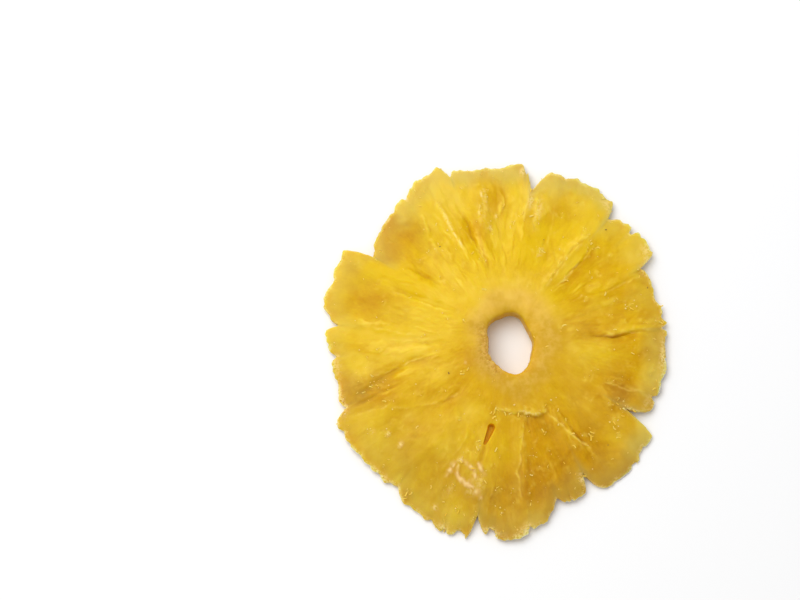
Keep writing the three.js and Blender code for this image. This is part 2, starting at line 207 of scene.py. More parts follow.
# Where the flesh is painted more amber than round it, or below zero more lemon yellow: riper and less ripened
# flesh, and also painted shade in narrow strips along creases and painted light on the shaded flank of the
# ridge at about 55 degrees.
RIPE_AND_SHADE_PLACES = [
    (1.8, 33, 3, 4, -0.3), (2.2, 24, 4, 0.8, 0.6), (2.2, 32, 2.5, 2, 0.2), (5, 29.4, 5, 1.5, -0.35),
    (7, 20.8, 5, 2.2, 0.25), (7.1, 36.9, 5, 3, -0.2), (9.3, 21.8, 8, 6, 0.12), (9.3, 38.4, 2.5, 2.5, -0.2),
    (9.3, 38.9, 3, 4, -0.25), (10, 14.2, 3, 2.4, 0.3), (16.2, 9, 2, 2, 0.3), (16.9, 19.6, 5, 4, 0.25),
    (22.8, 30.7, 5, 3, -0.2), (32.2, 36.2, 3, 3, -0.3), (32.4, 37.7, 4, 4, -0.25),
    (32.4, 38.8, 3, 3, -0.25), (35.2, 35.7, 2.5, 4, -0.2), (35.4, 38.2, 4, 4, -0.3),
    (36.3, 37.2, 2, 3, -0.3), (37.4, 37.2, 1.6, 3, -0.2), (45.3, 23.3, 5.5, 1.8, 0.4),
    (50.3, 21.7, 5, 1.1, -0.4), (51, 28.4, 9, 6, -0.12), (51.3, 33.5, 3, 3, -0.2),
    (51.6, 38.1, 2.5, 3, -0.2), (55, 21.6, 3, 0.9, 0.3), (55.5, 37.1, 3, 2.5, -0.4),
    (56.6, 37.6, 3, 3, -0.3), (56.7, 29.9, 7, 2, -0.3), (61.3, 29.3, 9, 8, -0.12), (62.5, 19, 5, 1.6, 0.3),
    (65.4, 30.3, 7, 5, -0.25), (67.5, 30.3, 3, 4, 0.2), (67.5, 32, 4, 5, 0.3), (72.3, 23, 4, 1.5, -0.35),
    (77.7, 32.3, 4, 1.5, -0.25), (85.8, 18.9, 4, 2, -0.2), (85.9, 29.3, 6, 1.4, -0.3),
    (92, 32.3, 4, 2.4, 0.25), (95.1, 32.8, 3.4, 2.4, 0.5), (96.6, 33.3, 3, 1.6, -0.4),
    (99.2, 32.3, 4, 2.5, 0.25), (100.2, 33.3, 3, 2, 0.1), (101.4, 26.1, 5, 2.5, 0.3),
    (105, 25.6, 2.5, 2.2, 0.3), (105.1, 22.5, 3, 1, 0.3), (105.7, 22, 4, 0.8, -0.4),
    (105.7, 22.5, 5, 1.2, 0.3), (106, 20.3, 3, 0.6, 0.8), (108.6, 26.7, 4, 1, -0.4),
    (108.7, 27.2, 3, 0.4, 0.5), (111.9, 23.1, 4, 2, -0.15), (116.7, 28.3, 6.5, 2.6, -0.3),
    (118.5, 33.4, 4, 6, -0.25), (125.3, 24.2, 3, 3, 0.3), (131.6, 35.5, 4, 3, 0.2),
    (132.3, 26.3, 3, 3, 0.2), (134.8, 32.6, 2.4, 7, 0.55), (136.5, 38, 2.5, 2.5, 0.4),
    (137.7, 35.6, 3, 5, 0.3), (140.9, 32.6, 3, 4, 0.15), (143.8, 24.4, 3, 0.7, 0.3),
    (148.6, 20.4, 4, 5, -0.2), (151, 27.6, 8, 1.2, -0.35), (151, 33.7, 4, 2.5, -0.15),
    (151.5, 27.6, 7, 2.5, -0.3), (151.8, 25.6, 9, 2.2, -0.2), (153.1, 32.7, 3, 1.5, -0.3),
    (153.4, 34.7, 3, 2, -0.3), (158.8, 36.3, 2, 2.5, -0.3), (159.4, 35.3, 3, 4, 0.3),
    (161.2, 31.8, 7, 7, 0.15), (163, 34.3, 4.5, 2.6, 0.4), (164.2, 38.2, 2.4, 2.5, -0.4),
    (168.3, 9.7, 3, 2.5, 0.45), (174.4, 23.9, 5, 1.5, -0.3), (174.4, 23.9, 4, 1.5, -0.15),
    (175.9, 26.9, 9, 1.8, -0.4), (177.3, 32, 8, 1.8, -0.2), (182.4, 30, 8, 1, 0.2),
    (185.8, 22.1, 5, 1.4, -0.4), (188.2, 33.1, 4, 3, -0.25), (189.1, 34.1, 2.5, 2, -0.25),
    (189.2, 33.1, 3, 2.5, -0.3), (191.2, 33.1, 8, 5, 0.15), (191.9, 23.7, 4, 0.8, 0.45),
    (194.8, 27.2, 3, 2, 0.15), (195.3, 24.2, 3, 2, -0.25), (196.6, 33.4, 3, 1.2, -0.5),
    (196.7, 31.7, 5, 1.6, 0.5), (196.9, 36.2, 5, 4, 0.2), (197.1, 34.2, 5, 3, 0.6),
    (200.4, 33.7, 3, 1.2, -0.4), (201.1, 33.2, 3, 3, 0.2), (201.5, 34.2, 5, 1.5, 0.6),
    (201.9, 36.2, 4, 1.5, 0.3), (202.3, 23.9, 3, 1.2, -0.3), (205, 34.3, 6, 2.4, -0.3),
    (205.6, 33.3, 4, 1, 0.3), (205.8, 10.5, 2.5, 2, 0.45), (206.3, 30.3, 6, 2.5, 0.2),
    (215.9, 34.4, 5, 8, -0.25), (224.2, 16.9, 2.6, 1, 0.35), (225, 30.5, 5, 2, 0.15),
    (225.2, 21.3, 2.5, 1.2, -0.3), (227.8, 34.5, 3, 5, 0.2), (228.8, 33.5, 4, 4, 0.2),
    (228.9, 31.5, 4, 6, 0.15), (230.2, 32.3, 3, 2.5, -0.5), (230.5, 38.4, 3, 5, -0.25),
    (231.3, 26.7, 4, 5, -0.2), (241.7, 19.5, 2.6, 4, -0.3), (247.5, 30.7, 3, 2, 0.25),
    (248.9, 24, 4, 3, -0.2), (250.2, 40.4, 3.5, 12, -0.35), (250.6, 28.8, 6, 6, -0.25),
    (252.2, 40.4, 3, 2.6, -0.3), (254.8, 34.2, 2.5, 2, 0.35), (255.3, 33.7, 3, 3, 0.25),
    (256.2, 39, 3, 3, -0.2), (256.4, 25, 2.6, 0.8, 0.4), (259.7, 35.6, 4, 3, 0.3),
    (262.3, 26.9, 5, 2.5, -0.2), (265.3, 36.8, 3, 3, -0.25), (267.1, 35.2, 3.4, 3.6, 0.3),
    (268, 32.2, 4, 5, 0.35), (268, 33.7, 5, 3, 0.1), (268, 36.1, 3, 3, -0.2), (268, 37.1, 3, 3, 0.2),
    (268.1, 26, 4, 5, -0.3), (272.9, 30.7, 6, 0.8, 0.3), (274, 39.9, 3, 5, -0.35),
    (276.7, 35.2, 1.6, 0.8, 0.5), (278.9, 38.8, 2.5, 3, -0.25), (279.5, 23.1, 4, 3, -0.3),
    (279.7, 29.8, 5, 4, 0.3), (280.8, 34.7, 5, 2, 0.2), (280.9, 39, 2.5, 3, -0.35),
    (281.6, 27.9, 3, 1.5, 0.15), (289.6, 31.7, 4.5, 5, 0.4), (290, 22, 4.5, 4, 0.35),
    (291.5, 23.3, 2.5, 2, -0.4), (293, 24.4, 3, 4, -0.3), (296.9, 24.9, 3, 3, 0.3),
    (303.6, 23.9, 3, 1.2, -0.3), (304, 27.7, 3, 2, 0.15), (308, 24.4, 3, 1.2, -0.5),
    (310.6, 25.7, 4, 7, 0.25), (313.4, 24.7, 5, 1.5, 0.12), (315.8, 28.6, 4, 3, 0.2),
    (316.7, 36.1, 2.5, 3, -0.25), (316.9, 29.5, 6, 3, -0.2), (322, 18.7, 3, 2, 0.25),
    (325.4, 21.1, 4, 3.5, 0.15), (327.2, 36.3, 3.5, 3.5, -0.7), (329, 34.3, 4, 2, -0.15),
    (332, 33.3, 3, 2.5, -0.4), (334.3, 27, 2.2, 4, 0.5), (336.1, 26.4, 5, 4, 0.3),
    (340.5, 29.3, 4, 3, 0.1), (340.9, 33.2, 3, 3, 0.15), (341.9, 33.2, 3, 2.5, -0.35),
    (342.7, 24.3, 5, 4, 0.2), (344.1, 36.2, 3, 3, -0.2), (344.2, 37.1, 3, 3, 0.2),
    (345.3, 22.2, 5, 1.5, -0.25), (346.7, 31.2, 6, 2, -0.3), (346.9, 34.1, 5, 3, 0.15),
    (348.2, 27.2, 5, 3, 0.2), (348.3, 28.2, 8, 5, -0.12), (348.8, 32.1, 2.5, 4, -0.2),
    (349.1, 36.1, 3, 3, -0.25), (350.6, 30.1, 5, 6, 0.2), (351.8, 20.1, 6, 1.2, -0.4),
    (351.8, 33.1, 2.5, 4, -0.25), (352.8, 25.1, 3, 1, -0.3), (357, 21, 5, 1, -0.3),
]

# Where the flesh has dried cloudy and pale, or below zero stays clear; the strips along the ridge at about 54
# degrees are painted light on its shaded flank.
PALE_PLACES = [
    (0.8, 16.9, 5, 6, 0.25), (2.3, 32, 2.5, 2.5, -0.2), (5, 29.4, 5, 1.5, 0.2), (9.3, 21.8, 8, 6, 0.1),
    (22.4, 11.9, 2, 3, 0.35), (23.6, 10.4, 3, 3, 0.2), (35.1, 34.6, 2.6, 2.6, 0.7),
    (50.3, 21.7, 5, 1.1, 0.4), (53.3, 32.4, 3, 1.6, 0.35), (54.6, 23.2, 7, 0.8, 0.35),
    (59.6, 36.5, 2.5, 4, 0.35), (61.3, 29.3, 9, 8, 0.1), (71.7, 35.4, 2, 4, 0.3),
    (71.7, 36.5, 2.5, 4, 0.35), (72.7, 34.4, 3, 2, 0.3), (74.4, 11.2, 2.5, 5, 0.3),
    (74.7, 33.4, 3, 2, 0.2), (79.3, 31.3, 3, 1.6, 0.5), (81.9, 35.4, 4, 2, 0.5), (81.9, 36.5, 3, 2, 0.3),
    (82.3, 13.2, 3, 7, 0.3), (82.9, 36.4, 3, 1.2, 0.4), (85.9, 31.3, 5, 1.2, 0.35),
    (85.9, 33.3, 3, 3, 0.3), (94.2, 23, 5, 2, 0.3), (94.5, 10.9, 1.6, 4, 0.4), (95.2, 26.1, 4, 3, 0.2),
    (95.5, 12.7, 3, 8, 0.3), (98.2, 30.3, 2, 0.8, 0.3), (102.2, 35.4, 3, 1.6, 0.4),
    (104.2, 35.9, 3, 1.5, 0.3), (108.2, 40.6, 2, 3, 0.3), (108.4, 33.4, 4, 2, 0.5),
    (109.4, 33.9, 3, 2, 0.4), (112.3, 38.6, 3, 3, 0.25), (112.7, 39.1, 3, 3, 0.7),
    (113.2, 40.1, 2.5, 4, 0.1), (113.3, 36.5, 4, 3.5, 0.5), (113.3, 36.5, 3, 3, 0.3),
    (113.3, 37, 3, 2.6, 0.6), (113.3, 39.1, 2, 2.5, 0.3), (116.7, 16.9, 6, 6, 0.15),
    (123.8, 32.9, 4, 1.6, 0.45), (127.6, 35.5, 2.5, 3, 0.3), (128.9, 39.2, 2.2, 5, 0.2),
    (131.8, 21.2, 3, 1.6, 0.4), (131.9, 13.3, 2, 2.5, 0.4), (133.4, 18.1, 3, 2, 0.2),
    (134.8, 24.1, 2.5, 1.5, 0.3), (134.8, 33, 5, 6, -0.35), (135.3, 17, 2.5, 2, 0.4),
    (136, 21.2, 4, 3, 0.2), (149.9, 17.9, 5, 1.8, 0.5), (151, 40.3, 2.2, 4, 0.15),
    (152.9, 19.5, 4, 3, 0.2), (155.8, 36.8, 2.5, 3, 0.3), (157.5, 41.4, 1.8, 4, 0.15),
    (159.6, 33.8, 5, 5, -0.4), (160.9, 35.8, 4, 5, -0.3), (163.7, 20.2, 4, 2, 0.35),
    (165, 13.4, 2, 2.5, 0.35), (165.5, 40.9, 1.8, 4, 0.15), (167.7, 21.7, 5, 3, 0.25),
    (174.8, 32, 4, 1.5, 0.25), (175.8, 17.9, 6, 2, 0.25), (176.2, 16.2, 3, 1.5, 0.3),
    (176.8, 32, 8, 1.8, 0.4), (179.2, 20, 6, 1.5, 0.4), (179.9, 27, 8, 0.8, 0.25),
    (180.5, 25.8, 5, 1.2, 0.25), (180.8, 22, 6, 1.5, 0.2), (184.3, 31, 4, 1.5, 0.25),
    (185.4, 24.1, 6, 1.5, 0.25), (185.8, 24.5, 4, 1.2, 0.3), (187.2, 33.1, 3, 1.5, 0.3),
    (187.6, 23.1, 6, 1.2, 0.5), (188.6, 23.1, 5, 1.5, 0.3), (190.7, 33.1, 3, 2.5, 0.4),
    (191.9, 34.5, 3, 2, 0.2), (194.2, 33.2, 4, 2, 0.3), (196.1, 20.6, 3.5, 1.6, 0.45),
    (201.5, 34.2, 4, 2, -0.3), (203.5, 18.4, 5, 3, 0.2), (205.6, 16.9, 3, 1.5, 0.35),
    (206, 35.3, 6, 1.4, 0.3), (208.1, 36.9, 3, 3, 0.35), (216.1, 27.5, 3, 1.2, 0.4),
    (217.9, 37.5, 3, 3.5, 0.4), (224.2, 28.8, 4, 3, 0.3), (224.6, 37.4, 4, 4, 0.3),
    (226.9, 22.8, 7, 9, 0.2), (238.9, 25.5, 4, 2.5, 0.3), (239, 27.7, 4, 2.5, 0.3),
    (239.5, 18.8, 2.5, 2.5, 0.6), (240.3, 39.4, 2.5, 2.5, 0.35), (241.5, 17.2, 2, 2, 0.35),
    (247.8, 26.9, 3, 2, 0.25), (250.2, 42.3, 1.5, 2.5, 0.5), (252.8, 23, 5, 1.2, 0.4),
    (256.2, 39, 3, 3, 0.35), (256.3, 31.2, 3, 3.4, 0.4), (256.7, 21.1, 4, 2, 0.25),
    (262.3, 26, 5, 2.5, 0.25), (273.9, 26, 8, 1.5, 0.25), (278.9, 40.4, 1.5, 3, 0.6),
    (280.9, 39, 2.5, 3, 0.4), (283.6, 14.3, 2, 6, 0.2), (297.7, 16.1, 2, 3, 0.2),
    (298.7, 22.9, 3, 1.5, 0.3), (307.5, 37.1, 2, 2, 0.5), (316.3, 24.7, 6, 2.5, 0.2),
    (316.7, 36.1, 2.5, 3, 0.2), (319.2, 34.4, 3, 2.4, 0.4), (320.9, 30.5, 8, 3, 0.25),
    (322.4, 20.7, 4, 3, 0.25), (327.2, 36.3, 3.5, 3.5, 0.7), (329.3, 37.3, 2.5, 2.5, 0.4),
    (329.4, 39.2, 2.5, 3, 0.3), (330.5, 40.2, 2.5, 3, 0.35), (331, 40.7, 2, 2.5, 0.3),
    (332.3, 38.2, 4, 3, 0.35), (334, 33.8, 1, 2.2, 0.5), (335.5, 15.5, 4, 6, 0.25),
    (337.9, 25.3, 8, 4, 0.2), (338.1, 17.4, 3, 4, 0.2), (341.9, 33.2, 3, 2.5, 0.2),
    (342.7, 24.3, 5, 4, -0.2), (343.7, 24.3, 4, 5, 0.2), (346.2, 37.1, 3, 4, -0.2),
    (346.3, 39.1, 3, 5, -0.25), (346.8, 20.2, 5, 3, 0.2), (348.8, 33.1, 2.5, 3, 0.35),
    (356.7, 14, 2, 4, 0.25), (357.7, 14, 3, 3, 0.15), (358, 21, 4, 1.5, 0.3),
]

# Where the flesh keeps a tint of green.
GREEN_PLACES = [
    (56.5, 35.5, 5, 8, 0.3), (96.2, 26.1, 5, 2, 0.3), (113.4, 35.4, 5, 4, 0.4), (128.7, 32.5, 5, 3, 0.5),
    (156.7, 37.8, 5, 5, 0.35), (167, 25.8, 7, 3, 0.3), (194.4, 30.2, 4, 3, 0.3), (199.4, 35.7, 3, 3, 0.9),
    (219.7, 37.4, 6, 7, 0.5), (238.6, 34.6, 8, 13, 0.8), (262.1, 36.6, 7, 7, 0.6),
    (284.8, 37.5, 4, 4, 0.2), (294.6, 35.6, 5, 5, 0.3), (299.6, 37.5, 4, 4, 0.3), (324.4, 38.3, 4, 3, 0.5),
]

# Pale crusts of sugar and crumbs; the brightest, at 275.7 degrees by the rim, is a painted highlight.
CRUST_PLACES = [
    (27.3, 35.3, 1, 1.2, 0.8), (28.7, 35.2, 0.5, 1, 0.5), (29.8, 36.9, 0.8, 1.5, 0.7),
    (33.1, 37.7, 0.8, 1.5, 0.6), (51.4, 37.7, 0.6, 1.2, 0.5), (53.6, 38.6, 0.6, 1.5, 0.5),
    (69.5, 21, 1.4, 0.6, 0.4), (76.2, 30.3, 3, 0.7, 0.5), (80.1, 32.2, 1.8, 0.5, 0.5),
    (84.4, 38.9, 0.9, 0.6, 0.9), (95, 28.2, 0.5, 0.25, 0.7), (98.4, 25.8, 0.6, 0.3, 0.6),
    (98.5, 33.1, 2.2, 0.4, 0.35), (99.9, 33.6, 0.9, 0.25, 0.9), (101.8, 29.3, 2.6, 0.9, 0.2),
    (102.2, 29.5, 0.5, 0.35, 0.7), (116.2, 24.2, 1.4, 0.25, 0.7), (116.6, 30.9, 3.5, 0.4, 0.5),
    (116.7, 27.2, 2, 0.2, 0.6), (187.7, 38.9, 0.8, 2.4, 0.4), (195.7, 39.5, 0.5, 1.2, 0.5),
    (198.4, 39.4, 0.5, 1.2, 0.5), (200.6, 40.1, 1.2, 2.4, 0.5), (201.3, 39.1, 0.5, 1, 0.4),
    (208.5, 11.1, 0.3, 0.4, 0.4), (212.9, 36.3, 0.6, 0.6, 0.3), (216.9, 33.7, 0.5, 0.5, 0.9),
    (222.9, 33.1, 0.6, 0.5, 0.8), (223.4, 40.7, 0.5, 1.2, 0.55), (227.2, 40.5, 0.5, 1.5, 0.6),
    (230.8, 40.4, 0.4, 1.2, 0.5), (245.2, 39.7, 0.6, 0.6, 0.7), (247.7, 34.6, 1.2, 0.6, 0.3),
    (249.7, 42.9, 0.6, 1.2, 0.8), (255.2, 33.9, 1, 1.2, 0.35), (257.9, 31.7, 1.8, 0.8, 0.35),
    (262.9, 41.2, 0.6, 1.3, 0.7), (264.1, 42, 0.7, 2.4, 1), (265.2, 42.3, 0.6, 1.3, 0.8),
    (267.3, 43.1, 0.4, 2, 0.5), (270.3, 43.4, 0.4, 2, 0.5), (273, 42.2, 0.5, 1.5, 0.7),
    (274.6, 41.2, 0.7, 1.5, 0.8), (275.6, 41.4, 0.8, 1.4, 0.8), (275.7, 40.6, 0.8, 0.8, 1),
    (298.5, 34.2, 1.4, 0.8, 0.9), (331.4, 31.8, 1.8, 0.4, 0.9), (336, 33.9, 0.8, 2.2, 0.3),
    (352, 35.5, 0.5, 4, 0.5), (354.9, 34.9, 0.6, 3.4, 0.8),
]

# Where the flesh's long cells have come apart and show the most.
BROKEN_PLACES = [
    (3.1, 26.9, 7, 3, 0.5), (20.4, 27.7, 6, 4, 0.4), (26.8, 18.4, 6, 8, 0.6), (43.5, 25.4, 6, 4, 0.4),
    (53.6, 23.2, 8, 2, 0.7), (75.7, 29.3, 5, 3, 0.7), (85.9, 28.2, 8, 5, 0.7), (100.7, 17.8, 6, 6, 0.5),
    (103.3, 29.3, 9, 10, 1), (118.9, 26.2, 9, 4, 0.8), (132.2, 19.1, 8, 8, 0.6), (151.8, 25.6, 8, 8, 0.7),
    (163.7, 17.6, 6, 6, 0.5), (171.3, 30.9, 7, 5, 0.6), (182.8, 22, 8, 4, 0.5), (193.5, 29.2, 8, 4, 0.8),
    (206, 34.3, 6, 5, 0.4), (223.1, 17.8, 4, 4, 0.4), (252.4, 32.7, 6, 6, 0.7), (270, 38.5, 4, 8, 0.5),
    (289.5, 30.7, 6, 5, 0.3), (305.6, 24.8, 6, 2, 0.6), (338.3, 27.3, 6, 7, 0.5),
]

# Where the flesh is torn and crumpled and its fibres stand up.
TORN_PLACES = [
    (5.4, 22.9, 0.8, 0.6, 0.6), (18.9, 27.7, 3, 0.5, 0.5), (31.1, 18.9, 0.6, 0.6, 0.7),
    (38.1, 23.4, 1, 1, 0.5), (49, 28.4, 1.5, 1.4, 0.6), (53.5, 27.6, 2, 0.6, 0.7),
    (55.1, 20.1, 6, 0.5, 0.8), (58.9, 25.2, 2, 1, 0.5), (70.7, 21.5, 0.8, 0.8, 0.8),
    (71, 21.2, 1.6, 0.6, 0.7), (76.7, 29.9, 1.6, 1, 0.9), (77.7, 31.6, 3.5, 0.9, 1), (80, 32, 2.4, 1, 0.9),
    (83.7, 34.5, 0.5, 0.5, 0.7), (87.9, 26.1, 1.6, 0.7, 0.5), (92, 31.3, 1.5, 0.8, 0.5),
    (95.2, 28.2, 1, 0.5, 0.9), (98.2, 32.3, 2.6, 0.8, 0.6), (99.1, 25.4, 1, 0.7, 0.9),
    (100, 33.2, 1.2, 0.5, 0.9), (102.2, 29.5, 1, 0.7, 0.9), (103.4, 27.7, 2, 0.8, 0.6),
    (107.7, 32.9, 0.7, 0.5, 0.7), (112.4, 35.4, 1.2, 0.8, 0.5), (116.4, 24, 1.8, 0.5, 0.8),
    (116.6, 29.3, 6, 0.5, 0.5), (118.9, 26.7, 2, 0.4, 0.7), (120.7, 29.4, 2, 0.7, 0.6),
    (122.2, 30.4, 1.4, 0.8, 0.6), (125.2, 25.2, 2, 1, 0.5), (126.3, 25.9, 0.8, 1, 0.7),
    (126.9, 31.1, 0.8, 1.2, 0.6), (133.2, 27.4, 1, 1, 0.6), (152.1, 23.5, 1, 1, 0.4),
    (171.1, 33.9, 1.5, 1, 0.5), (193.2, 33.1, 3, 1.4, 0.4), (198.3, 31.2, 4, 1.6, 0.6),
    (206.5, 28.4, 2, 0.8, 0.4), (233.4, 24.8, 0.8, 0.8, 0.5), (240.6, 34.6, 1.2, 1, 0.5),
    (247.4, 36.6, 2, 1.6, 0.5), (247.5, 34.9, 1.6, 1, 0.6), (249.2, 42.3, 1.2, 1.6, 0.7),
    (252.8, 30.9, 1.6, 1.2, 0.4), (257.9, 31.7, 1.8, 1.2, 0.8), (265, 41.7, 1.2, 2, 1),
    (265.2, 25, 0.8, 0.8, 0.4), (268.2, 15.6, 0.8, 3.5, 0.6), (276.9, 35.6, 0.8, 0.6, 0.7),
    (280.6, 26, 1, 1, 0.5), (284.8, 16.8, 0.8, 4.5, 0.9), (285.5, 28.8, 2.5, 2.8, 0.5),
    (294.4, 30.7, 1, 1, 0.6), (296.5, 35.6, 1, 1, 0.8), (298.5, 34.4, 1.6, 1.2, 1), (301, 26.8, 1, 1, 0.5),
    (305.4, 23.3, 4, 0.5, 0.6), (307, 29.1, 1.2, 0.7, 0.7), (320.5, 31.9, 0.7, 0.8, 0.9),
    (323.7, 29, 1, 1, 0.6), (328.3, 26.5, 1, 1.2, 0.6), (329.8, 30.4, 2, 0.7, 0.8),
    (346.2, 27.2, 1.4, 2, 0.5),
]
# Small flecks where it is torn too, all of one size: angle and radius.
TORN_FLECKS = [
    (7.1, 34.2), (11, 35.1), (13.8, 30.4), (16.3, 28.1), (20.3, 25.6), (239.7, 27.8), (247.7, 34.6),
    (252.7, 38), (253.1, 24), (259.2, 28.5), (259.6, 32.4), (264.4, 35.1), (267, 36.9), (270.6, 32.7),
    (277.4, 35.4), (280.3, 29.2), (284.7, 32.1), (287.2, 27), (348.5, 27.7), (354.8, 30.6), (355.6, 22.6),
    (357.5, 28.7),
]
TORN_PLACES += [(angle, radius, 0.9, 1.1, 0.7) for angle, radius in TORN_FLECKS]

# Where sugar has dried in raised lines: the places that each runs through, as angle and radius.
SUGAR_LINES = [
    [(244.5, 32.3), (244.9, 31.1), (244.9, 29.6), (246.4, 28.3), (248.6, 28.2), (250.4, 28.5)],
    [(247.4, 29.5), (248, 31.1), (250, 32), (252, 32.7)],
    [(252, 32.7), (253.8, 32.7), (254.8, 31.4), (255.4, 30.4), (254.1, 29.3), (252, 28.7), (250.4, 28.5)],
    [(253.8, 32.7), (256.3, 33.2), (258, 33.8), (259, 34.7)],
    [(255.5, 28), (257.6, 28.9), (259.1, 29.6)],
]
SUGAR_LINE_WIDTH = 0.4
PORES_FROM = (135, 270)  # between these angles the collar's cut cells lie open beside the hole
PORES_FADE = 30
PORES_REACH = 2.2
FIRM_RADIUS = 8  # how far out the flesh is firm, and how far that takes to fade
FIRM_FADE = 8
COLLAR_TAN_REACH = 2.2  # how far beyond the hole the collar is tan, and how far that takes to fade
COLLAR_TAN_FADE = 5.5
BROAD_COLLAR_SIDE = 30  # where it reaches farthest out
# The side where the flesh is painted palest, partly as painted light from the window.
LEAST_RIPE_AND_LIT_SIDE = 115
LEAST_SUGAR_SIDE = 130
FEATHER_SLOPE = 0.75

# The layers' torn edges: how broad the step at one is, how far its height and its colours reach, and the
# place and breadth of its pale lip.
LAYER_STEP = 0.3
LAYER_REACH = 1.6
LAYER_PALE_REACH = 1.8
LAYER_LIP_PLACE = 0.15
LAYER_LIP_WIDTH = 0.25

# The flap of flesh torn loose from the collar: its edge, the step down outside it, and the raised lip.
FLAP_ANGLES = (253.6, 262.7, 270, 277.4, 282.9, 288.6, 294.2, 299.8)
FLAP_RADII = (14.9, 15.6, 15.8, 16.1, 16.5, 17.3, 17.7, 17.4)
FLAP_SHARES = (0, 0.3, 0.5, 0.7, 1, 1, 0.9, 0)  # how much of the flap has come loose there
FLAP_STEP = 0.9
FLAP_EDGE = 0.4
FLAP_LENGTH = 6
FLAP_LIP = 0.084
FLAP_LIP_WIDTH = 2.16
FLAP_CLEAR = 0.8  # how far in from its edge the flap is clear
FLAP_LINE = 0.15  # how far in its pale line is, and how broad
FLAP_LINE_WIDTH = 0.22

# The split: a groove that is broad at its inner end, as the angle and radius of its two ends.
SPLIT_ENDS = ((258, 19.7), (256.3, 23.2))
SPLIT_WIDTHS = (1.9, 0.9)
SPLIT_LEVELS = ((4.0, 0.6), (10, 2.7))  # height, and the share of the widths there, 1 at the flesh's top

# How finely the surface is divided.
COARSE = 480  # places round the collar and the underside
FINE = 960  # places round the petals
COARSE_ROWS = 34
FINE_ROWS = 60
FINE_SHARE = 0.3  # the share of the way out where the finer rows start
RIM_ROWS = (0.955, 0.975, 0.99, 1.0)  # the last rows, closer together where the rim rounds off
RIM_LEVELS = (0.72, 0.4, 0.12)
RIM_BULGE = 0.3  # how far the rim's side stands out at its middle, and how rough it is
RIM_ROUGH = 0.22
UNDER_ROWS = 26
WALL_ROWS = 7
WALL_ROUGH = 0.12
# The wall's deep amber is partly painted shade in the hole.
WALL_RIPE_AND_SHADE = 1.1  # the hole's wall is deep amber, and little of it is tan
WALL_COLLAR = 0.25


# Small sums

def smooth(value):
    """0 to 1 with no corner at either end."""
    value = np.clip(value, 0, 1)
    return value**2 * (3 - 2 * value)


def mix(start, end, share):
    return start + (end - start) * share


def turn_between(angle, other):
    """The signed turn from `other` to `angle`, between -180 and 180 degrees."""
    return (angle - other + TURN / 2) % TURN - TURN / 2


def waves(table, angle):
    return sum(height * np.cos(np.radians(count * (angle - peak))) for count, height, peak in table)


def grain(points, seed):
    """Smooth noise from -1 to 1 at each row of an array of points. One unit is about one lump."""
    shifted = points + np.array((17.3, 5.9, 11.1)) * seed
    return np.array([noise.noise(point) for point in shifted.tolist()])


def wound(angle, spread, level):
    """Points round an upright line: as far from it as `spread` says, and as high as `level` says."""
    turn = np.radians(angle)
    return np.stack([spread * np.cos(turn), spread * np.sin(turn), level], axis=-1)


def lumps(angle, radius, size, seed, level=0):
    """Noise whose lumps are `size` millimetres across, the same every way."""
    return grain(wound(angle, radius, level + 0 * radius) / size, seed)


def patches(angle, radius, size, seed, contrast, lift=0):
    """Soft patches of 1 among 0, each about `size` millimetres across: sharper at a higher contrast, and
    covering more at a higher lift."""
    return smooth(contrast * lumps(angle, radius, size, seed) + lift)


def lumpy(angle, radius, *layers):
    """Lumps of several sizes on one another, each given by its height, size and seed."""
    return sum(height * lumps(angle, radius, size, seed) for height, size, seed in layers)


def fibres(angle, radius, count, length, seed):
    """Noise drawn out along the fibres: about `count` lines round the ring, each `length` millimetres."""
    return grain(wound(angle, count / (2 * math.pi), radius / length), seed)


def slanted(angle, radius, slope, count, length, seed):
    """Fibres that lean aside from the way out by a slope, as bundles do where they branch."""
    return fibres(angle + np.degrees(slope * np.log(radius / FULL_RADIUS)), radius, count, length, seed)


def fibrous(angle, radius, *layers):
    """Fibres of several sizes on one another, each given by its height, count, length and seed."""
    return sum(height * fibres(angle, radius, *size, seed) for height, *size, seed in layers)


def rings(angle, radius, width, length, seed):
    """Noise drawn out round the hole: lines about `width` millimetres broad and `length` long."""
    return grain(wound(angle, HOLE_RADIUS / length, radius / width), seed)


def near(angle, radius, place):
    """How near each point is to a place: 1 in its middle, falling off along and across the fibres."""
    at, out, length, breadth, strength = place
    across = np.radians(turn_between(angle, at)) * radius
    return strength * np.exp(-(((radius - out) / length) ** 2) - (across / breadth) ** 2)


def gathered(angle, radius, places):
    """How near each point is to all of the places together, which may be below zero."""
    return sum(near(angle, radius, place) for place in places)


def nearest(angle, radius, places):
    """How near each point is to the place that it is nearest to."""
    return np.max([near(angle, radius, place) for place in places], axis=0)


def place_at(angle, radius):
    """An angle and a radius as x and y."""
    turn = np.radians(angle)
    return np.stack([radius * np.cos(turn), radius * np.sin(turn)], axis=-1)


def line_distance(angle, radius, line):
    """How far each point is from a line through some places."""
    points = place_at(angle, radius)
    distances = []
    for start, end in zip(line, line[1:]):
        start, end = place_at(*start), place_at(*end)
        share = np.clip((points - start) @ (end - start) / np.sum((end - start) ** 2), 0, 1)
        distances.append(np.linalg.norm(points - start - share[..., None] * (end - start), axis=-1))
    return np.min(distances, axis=0)


# The ring's form

def petal_at(angle):
    """Each angle's petal, the next petal, and how far the angle is from the first's notch to the next's."""
    turned = (angle - AT[0]) % TURN + AT[0]
    petal = np.searchsorted(AT, turned, side="right") - 1
    after = (petal + 1) % len(AT)
    span = (AT[after] - AT[petal]) % TURN
    return petal, after, (turned - AT[petal]) / span, span


def petal_reach(angle):
    """The radius of each petal's own curve, before the notches are cut."""
    petal, _, share, _ = petal_at(angle)
    return (
        REACH_START[petal] * (1 - share) * (1 - 2 * share)
        + 4 * REACH_MIDDLE[petal] * share * (1 - share)
        + REACH_END[petal] * share * (2 * share - 1)
    )


